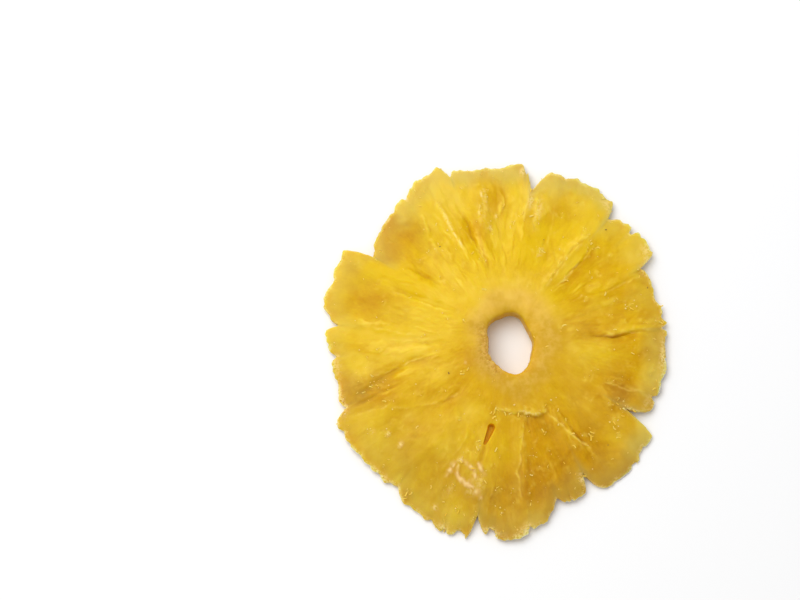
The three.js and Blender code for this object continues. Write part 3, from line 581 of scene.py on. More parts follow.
def rim_radius(angle):
    """The radius of the rim: the petals' curves, cut in at the notches, with crumbs and nicks."""
    petal, after, share, span = petal_at(angle)
    reach = petal_reach(angle)
    before = np.maximum(0, 1 - share * span / MOUTH_AFTER[petal]) ** NOTCH_POINT
    behind = np.maximum(0, 1 - (1 - share) * span / MOUTH_BEFORE[after]) ** NOTCH_POINT
    reach = reach - (reach - NOTCH[petal]) * before - (reach - NOTCH[after]) * behind
    crumbs = lumpy(angle, reach, (0.4, 2.6, 1), (0.4, 1.2, 2), (0.15, 0.6, 26))
    nicks = -1.3 * patches(angle, reach, 2.0, 24, 3, -1)
    return reach + waves(RIM_RIPPLES, angle) + crumbs + nicks


def hole_radius(angle):
    """The radius of the cored hole: nearly round, with small teeth that are longest on one side."""
    round_hole = HOLE_RADIUS + 0 * angle
    toothed = np.exp(-((turn_between(angle, TEETH_SIDE) / TEETH_SPREAD) ** 2))
    teeth = lumps(angle, round_hole, 1.6, 3) * 0.15 + lumps(angle, round_hole, 0.7, 4) * 0.2 * toothed
    return HOLE_RADIUS + waves(HOLE_WAVES, angle) + teeth


def tip_lift(petal, share):
    """How far the petals' tips have curled up, eased from the middle of each petal to the next."""
    beside = (petal + np.where(share < 0.5, -1, 1)) % len(AT)
    return mix(LIFT[petal], LIFT[beside], smooth(0.5 + abs(share - 0.5)) - 0.5)


def beside_line(angle, radius, inner, outer, start, end):
    """For a line between two angles and two radii: how much of it is there at each point's radius, faded at
    both ends, and how far aside of it the point is, which is below zero clockwise."""
    along = (radius - start) / (end - start)
    begun = smooth((along + FOLD_FADE) / (2 * FOLD_FADE))
    left = smooth((1 - along + FOLD_FADE) / (2 * FOLD_FADE))
    aside = np.radians(turn_between(angle, mix(inner, outer, np.clip(along, 0, 1)))) * radius
    return begun * left, aside


def fold_height(angle, radius, table):
    """The ridges and creases of a table, in millimetres above the plain surface."""
    height = 0 * radius
    for *line, rise, clockwise, other in table:
        fade, aside = beside_line(angle, radius, *line)
        height += rise * fade * np.exp(-((aside / np.where(aside < 0, clockwise, other)) ** 2))
    return height


def flap_edge(angle, radius):
    """How far each point is past the torn flap's edge, and how much of the flap is there."""
    edge = np.interp(angle, FLAP_ANGLES, FLAP_RADII) + lumpy(angle, radius, (0.4, 1.7, 5), (0.3, 0.7, 50))
    return radius - edge, np.interp(angle, FLAP_ANGLES, FLAP_SHARES)


def flap_height(angle, radius):
    """How far the torn flap's raised lip stands above the flesh, and the flesh outside it lies below."""
    past, share = flap_edge(angle, radius)
    step = FLAP_STEP * np.exp(-np.maximum(0, past) / FLAP_LENGTH) * smooth(past / FLAP_EDGE)
    lip = FLAP_LIP * np.exp(past / FLAP_LIP_WIDTH) * (past < 0)
    return share * (lip - step)


def layer_edges(angle, radius):
    """The layers' torn edges: their height, the deep colour under each, which is partly painted shade beside
    the step, and its pale layer and lip.
    """
    height, deep, pale, lip = (0 * radius for _ in range(4))
    ragged = lumpy(angle, radius, (0.3, 1.1, 63), (0.4, 3, 64))
    broken = patches(angle, radius, 1.3, 65, 1.2, 0.55)
    for *line, strength, side in LAYER_EDGES:
        fade, aside = beside_line(angle, radius, *line)
        shown = strength * fade
        aside = side * aside + ragged
        over = smooth(aside / LAYER_STEP + 0.5)
        height += shown * over * np.exp(-np.maximum(0, aside) / LAYER_REACH)
        # Partly painted shade: the lower layer is deepest right beside the step.
        deep += shown * (1 - over) * np.exp(np.minimum(0, aside) / LAYER_REACH)
        pale += shown * over * np.exp(-np.maximum(0, aside) / LAYER_PALE_REACH)
        lip += shown * broken * np.exp(-(((aside - LAYER_LIP_PLACE) / LAYER_LIP_WIDTH) ** 2))
    return height, deep, pale, lip


def segments(angle, radius, count, length, seed):
    """The long cells that the flesh is made of, about `count` round the ring and each `length` millimetres
    long: a tone from -1 to 1 for each cell, and how far each point is inside its own."""
    points = wound(angle, count / (2 * math.pi), radius / length + seed)
    tones, inside = [], []
    for point in points.tolist():
        distances, centres = noise.voronoi(point)
        tones.append(noise.noise(centres[0] * 3.7))
        inside.append(distances[1] - distances[0])
    return np.clip(2 * np.array(tones), -1, 1), np.array(inside)


def plain_levels(angle, radius, rim):
    """The middle height, thickness, edge share and cup of the ring without any relief."""
    petal, _, share, _ = petal_at(angle)
    petal_middle = np.sin(math.pi * share) ** PLEAT_SHARP
    out = np.minimum(1, radius / FULL_RADIUS)
    collar = 1 - smooth((radius - COLLAR_RADIUS) / COLLAR_BLEND)
    flesh = mix(FLESH_THICK, RIM_THICK, smooth((out - THIN_START) / (1 - THIN_START)))
    thinning = mix(rim, petal_reach(angle), NOTCH_THICK) - radius
    edge = mix(EDGE_THICK, 1, np.sqrt(np.clip(thinning / EDGE_REACH, 0, 1)))
    thick = mix(flesh, COLLAR_THICK, collar) * edge
    curl = np.clip((out - CURL_START) / (1 - CURL_START), 0, 1) ** CURL_BEND
    tip = tip_lift(petal, share) - PLEAT_DEPTH * (1 - petal_middle)
    middle = RIM_THICK / 2 - RIM_SAG + DOME_RISE * (1 - out**2) + tip * curl
    cup = CUP[petal] * petal_middle * np.exp(-(((out - CUP_PLACE) / CUP_LENGTH) ** 2))
    return middle, thick, edge, cup


def wandered(angle, radius):
    """The same places moved a little, so that folds and creases wander as torn flesh does."""
    aside = lumpy(angle, radius, (0.7, 5, 9), (0.25, 1.6, 10))
    along = 0.6 * lumps(angle, radius, 4, 11)
    return angle + np.degrees(aside / radius), radius + along


def torn_at(angle, radius):
    """Where the flesh is torn and crumpled: at its own places, and here and there in small patches."""
    here_and_there = 0.8 * patches(angle, radius, 2.2, 47, 3.4, -1.1)
    return np.clip(nearest(angle, radius, TORN_PLACES) + here_and_there, 0, 1)


def pores_at(angle, radius):
    """1 where the collar's cut cells lie open beside the hole, fading to 0."""
    start, end = PORES_FROM
    beside = smooth((angle - start) / PORES_FADE) * smooth((end - angle) / PORES_FADE)
    return beside * np.exp(-((np.maximum(0, radius - hole_radius(angle)) / PORES_REACH) ** 2))


def firm_at(angle, radius):
    """1 on the firm collar, fading to 0 where the fibres of the flesh take over."""
    return 1 - smooth((radius - FIRM_RADIUS - 3 * lumps(angle, radius, 3, 23)) / FIRM_FADE)


def long_cells(angle, radius, moved, out):
    """The flesh's long cells: their height, and a tone for each, stronger where they have come apart."""
    broken = np.clip(gathered(angle, radius, BROKEN_PLACES), 0, 1)
    bent = moved + np.degrees(0.35 * lumps(angle, radius, 1.3, 53) / radius)
    tones, inside = segments(bent, out + 0.5 * lumps(angle, radius, 1.6, 54), 84, 5.5, 6)
    fine_tones, _ = segments(bent, out, 170, 3.2, 7)
    tones = (0.65 * tones + 0.35 * fine_tones) * smooth(inside / 0.5)
    height = mix(0.03, 0.13, broken) * (smooth(inside / 0.45) - 0.6 + 0.7 * tones)
    return height, mix(0.3, 1, broken) * tones


def feathered(angle, radius, moved, out):
    """Fine fibres that lean to one side here and to the other there, as bundles do where they branch."""
    leaning = 1.8 * lumps(angle, radius, 8, 59)
    feathers = smooth(leaning + 0.1) * slanted(moved, out, FEATHER_SLOPE, 130, 2.2, 60)
    return feathers + smooth(0.1 - leaning) * slanted(moved, out, -FEATHER_SLOPE, 130, 2.2, 61)


def sugar_tracery(angle, radius):
    """1 along the raised lines of dried sugar, which are uneven and broken by gaps."""
    uneven = lumpy(angle, radius, (0.35, 0.8, 20), (0.3, 2.0, 62))
    lines = np.min([line_distance(angle, radius, line) for line in SUGAR_LINES], axis=0) + uneven
    gaps = mix(0.3, 1, patches(angle, radius, 1.1, 51, 2, 0.5))
    return gaps * np.exp(-((np.maximum(0, lines) / SUGAR_LINE_WIDTH) ** 2))


def relief(angle, radius):
    """The flesh's fine relief: folds, creases, cells, fibres and crinkles, and the parts it is made of."""
    firm = firm_at(angle, radius)
    moved, out = wandered(angle, radius)
    folds = fold_height(moved, out, FOLDS)
    creases = fold_height(moved, out, CREASES)
    # A painted highlight: pale along the tops of raised creases.
    crest_highlights = smooth(creases / 0.16) * patches(angle, radius, 0.9, 56, 1.5, 0.4)
    strands = fibrous(moved, out, (0.05, 34, 8, 12), (0.035, 90, 4.5, 13), (0.02, 220, 2.5, 14))
    net = fibres(moved, out, 50, 8, 15)
    cracks = -0.06 * np.exp(-((net / 0.06) ** 2)) * patches(angle, radius, 5, 16, 1.8)
    swells = lumpy(angle, radius, (0.16, 3.4, 27), (0.08, 1.6, 28))
    torn = torn_at(angle, radius)
    crinkle = mix(0.16, 1.2, torn) * lumpy(angle, radius, (0.13, 0.9, 17), (0.07, 0.5, 18))
    turned = firm * (0.05 * rings(angle, radius, 0.9, 7, 34) + 0.03 * rings(angle, radius, 0.45, 4, 35))
    pitted = -0.25 * pores_at(angle, radius) * patches(angle, radius, 0.55, 19, 2)
    cells, tones = long_cells(angle, radius, moved, out)
    feathers = feathered(angle, radius, moved, out)
    step, deep, pale, lip = layer_edges(angle, radius)
    flesh = strands + cells + cracks + swells + 0.07 * feathers
    fine = creases + 0.2 * step + (1 - firm) * flesh + mix(1, 0.4, firm) * crinkle + turned + pitted
    crust = nearest(angle, radius, CRUST_PLACES)
    crumbs = crust * (0.15 + 0.35 * np.abs(lumps(angle, radius, 0.8, 21)))
    return {
        "folds": folds,
        "fine": fine,
        "tracery": sugar_tracery(angle, radius),
        "crust": crust,
        "crumbs": crumbs,
        "torn": torn,
        "tones": (1 - firm) * tones,
        "crest_highlights": crest_highlights,
        "feathers": (1 - firm) * feathers,
        "deep": deep - 0.6 * pale,
        "lip": lip,
    }


def ripe_and_shade_at(angle, radius, relative, tones=0, feathers=0):
    """How far the flesh is painted from lemon yellow at 0 to amber at 1: its ripeness, and painted shade,
    palest on the side that the window lights, paler on high parts and deeper in hollows.
    """
    # Partly riper flesh, partly painted light and shade: palest on the window's side, deepest away from it.
    side = 0.45 - 0.36 * np.cos(np.radians(angle - LEAST_RIPE_AND_LIT_SIDE))
    places = gathered(angle, radius, RIPE_AND_SHADE_PLACES)
    outwards = 0.12 * smooth((radius - 20) / 12)
    cloudy = lumpy(angle, radius, (0.3, 5, 36), (0.22, 2.4, 37))
    streaked = fibrous(angle, radius, (0.13, 44, 6, 38), (0.08, 105, 3, 39))
    # The relief's height is painted in too: hollows deeper and high parts paler, as painted shade and light.
    return side + places + outwards + cloudy + streaked - 0.35 * tones - 0.3 * relative - 0.25 * feathers


def frost_and_highlights_at(angle, radius, relative, part):
    """Where the flesh is pale: dried cloudy at its own places and along some fibres, and painted highlights
    on high parts, on crests and as glints where it is torn.
    """
    lines = smooth(2.4 * fibres(angle, radius, 48, 5, 44) - 0.3)
    lines *= patches(angle, radius, 6, 45, 1.4, 0.4)
    specks = patches(angle, radius, 1.1, 46, 3, -0.8)
    # Painted highlights: pale glints on torn flesh.
    glints = part["torn"] * patches(angle, radius, 0.8, 48, 2.4, 0.3)
    cells = smooth((part["tones"] - 0.1) / 0.5)
    uneven = 0.75 + 0.5 * lumps(angle, radius, 1.8, 57)
    places = uneven * gathered(angle, radius, PALE_PLACES)
    # Here the high parts and the crests get painted highlights.
    loose = 0.2 * lines + 0.2 * specks + 0.5 * cells + 0.5 * relative + 0.6 * glints + 0.7 * part["crest_highlights"]
    return np.clip(places + loose, 0, 1)


def beside_rim(radius, rim):
    """1 at the rim, falling off quickly inwards."""
    return np.exp(-np.maximum(0, rim - radius) / 0.8)


def sugar_at(angle, radius, rim):
    """How thickly sugar grains lie: where the flesh is torn and by the rim, and least on one side."""
    drifts = patches(angle, radius, 7, 25, 1.5, -0.2)
    side = 0.65 - 0.35 * np.cos(np.radians(angle - LEAST_SUGAR_SIDE))
    loose = side * (0.01 + 0.05 * drifts + 0.8 * torn_at(angle, radius))
    return np.clip(loose + 0.25 * beside_rim(radius, rim), 0, 1)


def fuzz_at(angle, radius, rim, past, flap_share):
    """How thickly torn fibre ends lie: at the rim, on the torn flap's lip and where the flesh was torn."""
    lips = 0.06 * flap_share * np.exp(-((past / 0.5) ** 2))
    torn = torn_at(angle, radius) * patches(angle, radius, 1.2, 58, 2, 0.5)
    stray = 0.04 * patches(angle, radius, 1.5, 40, 3, -0.6)
    return np.clip(0.08 * beside_rim(radius, rim) + lips + torn + stray, 0, 1)


def top_height(angle, radius, hole, rim, part):
    """How high the top is: its fine relief is quieter beside the hole and the rim."""
    middle, thick, edge, cup = plain_levels(angle, radius, rim)
    side = 1 + LIP_LEAN * np.cos(np.radians(angle - LIP_SIDE))
    lip = LIP_DROP * side * np.exp(-(radius - hole) / (LIP_REACH * side))
    under = np.maximum(0, middle - thick / 2 + FOLD_THROUGH * part["folds"])
    quiet = smooth((radius - hole) / 1.5) * mix(0.45, 1, smooth((rim - radius) / 2.5))
    high = middle + thick / 2 + part["folds"] - cup + flap_height(angle, radius) - lip
    high += quiet * (part["fine"] + 0.35 * part["tracery"] + part["crumbs"])
    return np.maximum(under + THINNEST * edge, high)


def flap_marks(angle, radius, past, share):
    """The torn flap's marks: the deep flesh beyond its edge, which is partly painted shadow under the lip,
    its clear lip and the pale line along it.
    """
    # Painted shadow: the flesh just past the step is deeper amber, partly for the shadow that the lip casts.
    beyond = share * smooth(past / 0.6) * np.exp(-np.maximum(0, past) / FLAP_LENGTH)
    clear = np.where(past < 0, np.exp(past / FLAP_CLEAR), np.exp(-((past / 0.2) ** 2)))
    clear *= share * patches(angle, radius, 1.2, 52, 1.5, 0.6)
    line = share * np.exp(-(((past + FLAP_LINE) / FLAP_LINE_WIDTH) ** 2))
    return beyond, clear, line * patches(angle, radius, 0.9, 55, 1.5, 0.7)


def top_of(angle, radius, hole, rim):
    """The top's heights and the masks that its finish reads."""
    part = relief(angle, radius)
    past, flap_share = flap_edge(angle, radius)
    beyond, clear_lip, lip_line = flap_marks(angle, radius, past, flap_share)
    patchy = lumps(angle, radius, 5, 22)
    relative = part["folds"] * 0.4 + part["fine"]
    # The collar's edge into the hole is painted deeper amber and less tan, partly as painted shade falling
    # into the hole.
    inner_lip = np.exp(-(radius - hole) / 0.8)
    collar_edge = hole + COLLAR_TAN_REACH + 2.0 * patchy + np.cos(np.radians(angle - BROAD_COLLAR_SIDE))
    ripe = ripe_and_shade_at(angle, radius, relative, part["tones"], part["feathers"])
    # The deeper colour from the layers' edges, past the flap and at the hole's edge is partly painted shade.
    ripe += 0.55 * part["deep"] + 0.4 * beyond - 0.6 * clear_lip + 0.5 * inner_lip
    crust = part["crust"] + 0.75 * lip_line + 0.25 * part["lip"] + edge_crust(angle, radius, rim)
    frost = frost_and_highlights_at(angle, radius, relative, part) + 0.8 * clear_lip + lip_line + part["lip"]
    masks = {
        "collar": (1 - 0.6 * inner_lip) * (1 - smooth((radius - collar_edge) / COLLAR_TAN_FADE)),
        "ripe": ripe,
        "green": np.clip(gathered(angle, radius, GREEN_PLACES), 0, 1),
        "haze": HAZE[petal_at(angle)[0]] * smooth(1 - (rim - radius) / (7 + 5 * patchy)),
        "crust": np.clip(crust, 0, 1),
        "sugar_line": part["tracery"],
        "frost": np.clip(frost, 0, 1),
        "torn": part["torn"],
        "pores": pores_at(angle, radius),
        "sugar": sugar_at(angle, radius, rim) * (1 - 0.8 * firm_at(angle, radius)) + 0.8 * part["crust"],
        "fuzz": fuzz_at(angle, radius, rim, past, flap_share),
    }
    return top_height(angle, radius, hole, rim, part), masks


def edge_crust(angle, radius, rim):
    """The thin pale line of dried sugar along the very rim."""
    broken = patches(angle, radius, 1.4, 49, 1.6, 0.45)
    return 0.6 * broken * np.exp(-(((rim - radius) / 0.35) ** 2))


def under_of(angle, radius, hole, rim):
    """The underside's heights and masks: the folds show through, pressed flat where the ring rests."""
    middle, thick, _, _ = plain_levels(angle, radius, rim)
    folds = fold_height(*wandered(angle, radius), FOLDS)
    strands = 0.16 * fibres(angle, radius, 80, 9, 31) + 0.12 * lumps(angle, radius, 2.4, 32)
    under = np.maximum(0, middle - thick / 2 + FOLD_THROUGH * folds - strands)
    patchy = lumps(angle, radius, 6, 33)
    masks = dict.fromkeys(("green", "sugar_line", "frost", "torn", "pores", "fuzz"), 0 * radius)
    masks |= {
        "collar": 1 - smooth((radius - hole - 3 - 2 * patchy) / 5),
        "ripe": ripe_and_shade_at(angle, radius, 0.5 * folds - strands),
        "haze": HAZE[petal_at(angle)[0]] * smooth(1 - (rim - radius) / 5),
        "crust": edge_crust(angle, radius, rim),
        "sugar": 0.4 * sugar_at(angle, radius, rim),
    }
    return under, masks


def blended(first, second, share):
    """Two sets of masks, mixed."""
    return {name: mix(first[name], second[name], share) for name in first}


def ring_rows():
    """The closed rows of the ring's skin: over the top, round the rim, back underneath and up the hole."""
    coarse = np.arange(COARSE) * TURN / COARSE
    fine = np.arange(FINE) * TURN / FINE
    ends = {len(angle): (hole_radius(angle), rim_radius(angle)) for angle in (coarse, fine)}
    # A coarse row keeps the fine row's rim, so that the two meet without a step.
    ends[COARSE] = (ends[FINE][0][::2], ends[FINE][1][::2])

    def row(angle, share, surface):
        hole, rim = ends[len(angle)]
        closing = np.clip((share - RING_SHARE) / (1 - RING_SHARE), 0, 1) ** RING_BEND
        radius = mix(hole, FULL_RADIUS, share) - (FULL_RADIUS - rim) * closing
        height, masks = surface(angle, radius, hole, rim)
        return angle, radius, height, masks

    top_shares = [(coarse, share) for share in np.linspace(0, FINE_SHARE, COARSE_ROWS, endpoint=False)]
    top_shares += [(fine, share) for share in np.linspace(FINE_SHARE, RIM_ROWS[0], FINE_ROWS, endpoint=False)]
    top_shares += [(fine, share) for share in RIM_ROWS]
    tops = [row(angle, share, top_of) for angle, share in top_shares]
    unders = [row(coarse, share, under_of) for share in np.linspace(1, 0, UNDER_ROWS)]
    edge_under = row(fine, 1.0, under_of)
    rims = []
    for level in RIM_LEVELS:
        angle, radius, high, over = tops[-1]
        _, _, low, below = edge_under
        rough = RIM_ROUGH * lumps(angle, radius, 0.9, 41, level)
        bulge = (RIM_BULGE + rough) * math.sin(math.pi * level)
        rims.append((angle, radius + bulge, mix(low, high, level), blended(below, over, level)))
    walls = []
    for level in np.linspace(0, 1, WALL_ROWS + 2)[1:-1]:
        angle, radius, high, over = tops[0]
        _, _, low, below = unders[-1]
        rough = WALL_ROUGH * lumps(angle, radius, 0.8, 42, level * 3)
        waist = (HOLE_WAIST - rough) * math.sin(math.pi * level)
        masks = blended(below, over, level)
        # Painted shade: the wall is mostly deep amber.
        masks["ripe"] = mix(WALL_RIPE_AND_SHADE, over["ripe"], level**4)
        masks["collar"] = mix(WALL_COLLAR, 1, level**4) * over["collar"]
        walls.append((angle, radius - waist, mix(low, high, level), masks))
    return tops + rims + unders + walls


def skin_faces(counts):
    """Faces between neighbouring rows, the last joined to the first. A row may have half or twice as many
    places as the one before it."""
    starts = np.cumsum([0] + counts[:-1])
    faces = []
    for here, (count, start) in enumerate(zip(counts, starts)):
        after = (here + 1) % len(counts)
        next_count, next_start = counts[after], starts[after]
        fewer = min(count, next_count)
        i = np.arange(fewer)
        j = (i + 1) % fewer
        if count == next_count:
            quads = [start + i, next_start + i, next_start + j, start + j]
            faces += np.stack(quads, axis=-1).tolist()
            continue
        wide = 2 * fewer
        if next_count > count:
            a, b, c = (next_start + (2 * i + k) % wide for k in range(3))
            corners = [(start + i, a, b), (start + i, b, start + j), (start + j, b, c)]
        else:
            a, b, c = (start + (2 * i + k) % wide for k in range(3))
            corners = [(a, next_start + i, b), (b, next_start + i, next_start + j), (b, next_start + j, c)]
        for corner in corners:
            faces += np.stack(corner, axis=-1).tolist()
    return faces


def new_object(name, mesh):
    thing = bpy.data.objects.new(name, mesh)
    bpy.context.scene.collection.objects.link(thing)
    return thing


def split_cutter():
    """The drop-shaped cutter for the split in the flesh."""
    start, end = (place_at(*ends) for ends in SPLIT_ENDS)
    along = (end - start) / np.linalg.norm(end - start)
    aside = np.array((-along[1], along[0]))
    outline = []
    for middle, width, first in ((start, SPLIT_WIDTHS[0], 90), (end, SPLIT_WIDTHS[1], -90)):
        for turn in np.radians(np.linspace(first, first + 180, 9)):
            outline.append((middle, width / 2 * (math.cos(turn) * along + math.sin(turn) * aside)))
    points = []
    for level, share in SPLIT_LEVELS:
        points += [(*(middle + share * out), level) for middle, out in outline]
    count = len(outline)
    faces = [list(range(count))[::-1], list(range(count, 2 * count))]
    faces += [[i, (i + 1) % count, (i + 1) % count + count, i + count] for i in range(count)]
    mesh = bpy.data.meshes.new("split_cutter")
    mesh.from_pydata([(x, y * LENGTHEN, z) for x, y, z in points], [], faces)
    mesh.attributes.new("skin", "FLOAT", "FACE").data.foreach_set("value", [0.0] * len(faces))
    return new_object("split_cutter", mesh)


def ring_mesh():
    """The whole ring in millimetres, with its masks and its split."""
    rows = ring_rows()
    angle, radius, height = (np.concatenate([row[part] for row in rows]) for part in range(3))
    turn = np.radians(angle)
    places = np.stack([radius * np.cos(turn), radius * np.sin(turn) * LENGTHEN, height], axis=-1)
    mesh = bpy.data.meshes.new("candied_flesh")
    mesh.from_pydata(places.tolist(), [], skin_faces([len(row[0]) for row in rows]))
    for name in rows[0][3]:
        values = np.concatenate([row[3][name] for row in rows])
        mesh.attributes.new(name, "FLOAT", "POINT").data.foreach_set("value", values)
    mesh.attributes.new("skin", "FLOAT", "FACE").data.foreach_set("value", [1.0] * len(mesh.polygons))
    ring = new_object("candied_flesh", mesh)
    cutter = split_cutter()
    cut = ring.modifiers.new("split", "BOOLEAN")
    cut.operation, cut.solver, cut.object = "DIFFERENCE", "MANIFOLD", cutter
    depsgraph = bpy.context.evaluated_depsgraph_get()
    split = bpy.data.meshes.new_from_object(ring.evaluated_get(depsgraph), depsgraph=depsgraph)
    ring.modifiers.clear()
    ring.data = split
    bpy.data.objects.remove(cutter)
    return ring


def settle(ring):
    """Moves the ring so that its box is centred on the solid's box, and returns the hole's middle."""
    mesh = ring.data
    places = np.empty(3 * len(mesh.vertices))
    mesh.vertices.foreach_get("co", places)
    places = places.reshape(-1, 3) * METRES
    centre = (places.min(axis=0) + places.max(axis=0)) / 2
    target = np.array((CAD_LOW + CAD_HIGH) / 2)
    shift = np.array((target[0] - centre[0], target[1] - centre[1], CAD_LOW.z - places[:, 2].min()))
    mesh.vertices.foreach_set("co", (places + shift).ravel())
    mesh.polygons.foreach_set("use_smooth", [item.value > 0.5 for item in mesh.attributes["skin"].data])
    mesh.update()
    return shift


# Finishes

def linear(red, green, blue):
    """A colour given as it looks on a screen, 0 to 255, as the linear colour that shaders take."""
    def channel(value):
        value /= 255
        return value / 12.92 if value <= 0.04045 else ((value + 0.055) / 1.055) ** 2.4
    return (channel(red), channel(green), channel(blue), 1)


LEMON = linear(230, 193, 14)
GOLD = linear(221, 178, 10)
AMBER = linear(213, 162, 6)
DEEP_AMBER = linear(190, 132, 4)
LEAF_GREEN = linear(184, 170, 66)
# Pale dried frost, also used for painted highlights.
FROST_AND_HIGHLIGHT = linear(241, 209, 78)
SPLIT_ORANGE = linear(216, 152, 4)
COLLAR_TAN = linear(210, 166, 44)
COLLAR_PALE = linear(226, 188, 84)
# Painted light: the collar is lighter on the side that the window lights.
COLLAR_PAINTED_LIGHT = linear(250, 212, 104)
PORE_TAN = linear(222, 184, 100)
PORE_BROWN = linear(192, 146, 58)
RIM_HAZE = linear(214, 192, 100)
RIM_TAN = linear(192, 156, 70)
CRUST_CREAM = linear(252, 226, 156)
SUGAR_PINK = linear(242, 206, 148)
CRYSTAL_PALE = linear(252, 228, 140)
CRYSTAL_YELLOW = linear(246, 208, 80)
STRAW = linear(254, 210, 66)
PALE_STRAW = linear(255, 228, 116)
SPECK_BROWN = linear(92, 52, 16)
FLOOR_WHITE = linear(250, 250, 251)
FLOOR_BRIGHT = linear(253, 253, 253)


class Tree:
    """Adds nodes to a node tree, with inputs given by name or number and outputs taken in the same way."""

    def __init__(self, tree):
        self.tree = tree

    def add(self, kind, inputs=None, output=0, **settings):
        node = self.tree.nodes.new(kind)
        for name, value in settings.items():
            setattr(node, name, value)
        self.fill(node, inputs or {})
        return node.outputs[output]

    def fill(self, node, inputs):
        """Links each of a node's inputs to an output, or sets it to a plain value."""
        for name, value in inputs.items():
            if isinstance(value, bpy.types.NodeSocket):
                self.tree.links.new(value, node.inputs[name])
            else:
                node.inputs[name].default_value = value

    def add_end(self, kind, value):
        self.tree.links.new(value, self.tree.nodes.new(kind).inputs[0])

    def math(self, operation, first, second=0.0):
        return self.add("ShaderNodeMath", {0: first, 1: second}, operation=operation)

    def blend(self, share, first, second):
        """One colour laid over another by a share from 0 to 1."""
        inputs = {"Factor": share, 6: first, 7: second}
        return self.add("ShaderNodeMix", inputs, output=2, data_type="RGBA", clamp_factor=True)


def new_material(name):
    """A material with a Principled shader, as a node helper and the shader."""
    material = bpy.data.materials.new(name)
    material.use_nodes = True
    shader = material.node_tree.nodes["Principled BSDF"]
    return material, Tree(material.node_tree), shader


def mask(tree, name):
    return tree.add("ShaderNodeAttribute", output="Fac", attribute_name=name)


def fibre_coordinates(tree, middle, count, length):
    """Coordinates that stretch a noise along the fibres, about `count` lines round the ring."""
    place = tree.add("ShaderNodeTexCoord", output="Object")
    back = (-middle[0], -middle[1] / LENGTHEN, 0)
    inputs = {"Vector": place, "Location": back, "Scale": (1, 1 / LENGTHEN, 0)}
    flat = tree.add("ShaderNodeMapping", inputs)
    way = tree.add("ShaderNodeVectorMath", {0: flat}, operation="NORMALIZE")
    spread = tree.add("ShaderNodeVectorMath", {0: way, "Scale": count / (2 * math.pi)}, operation="SCALE")
    out = tree.add("ShaderNodeVectorMath", {0: flat}, output="Value", operation="LENGTH")
    along = tree.add("ShaderNodeCombineXYZ", {"Z": tree.math("MULTIPLY", out, 1 / (length * METRES))})
    return tree.add("ShaderNodeVectorMath", {0: spread, 1: along}, operation="ADD")


def noise_at(tree, vector, scale, detail=2.0, roughness=0.5):
    inputs = {"Vector": vector, "Scale": scale, "Detail": detail, "Roughness": roughness}
    return tree.add("ShaderNodeTexNoise", inputs, output="Fac")


def ranged(tree, value, low, high, start=0.0, end=1.0):
    inputs = {"Value": value, "From Min": low, "From Max": high, "To Min": start, "To Max": end}
    return tree.add("ShaderNodeMapRange", inputs, clamp=True)


def patchy_colour(tree, scale, low, high, first, second):
    """A colour that changes between two in soft patches, larger at a smaller scale."""
    place = tree.add("ShaderNodeTexCoord", output="Object")
    return tree.blend(ranged(tree, noise_at(tree, place, scale), low, high), first, second)


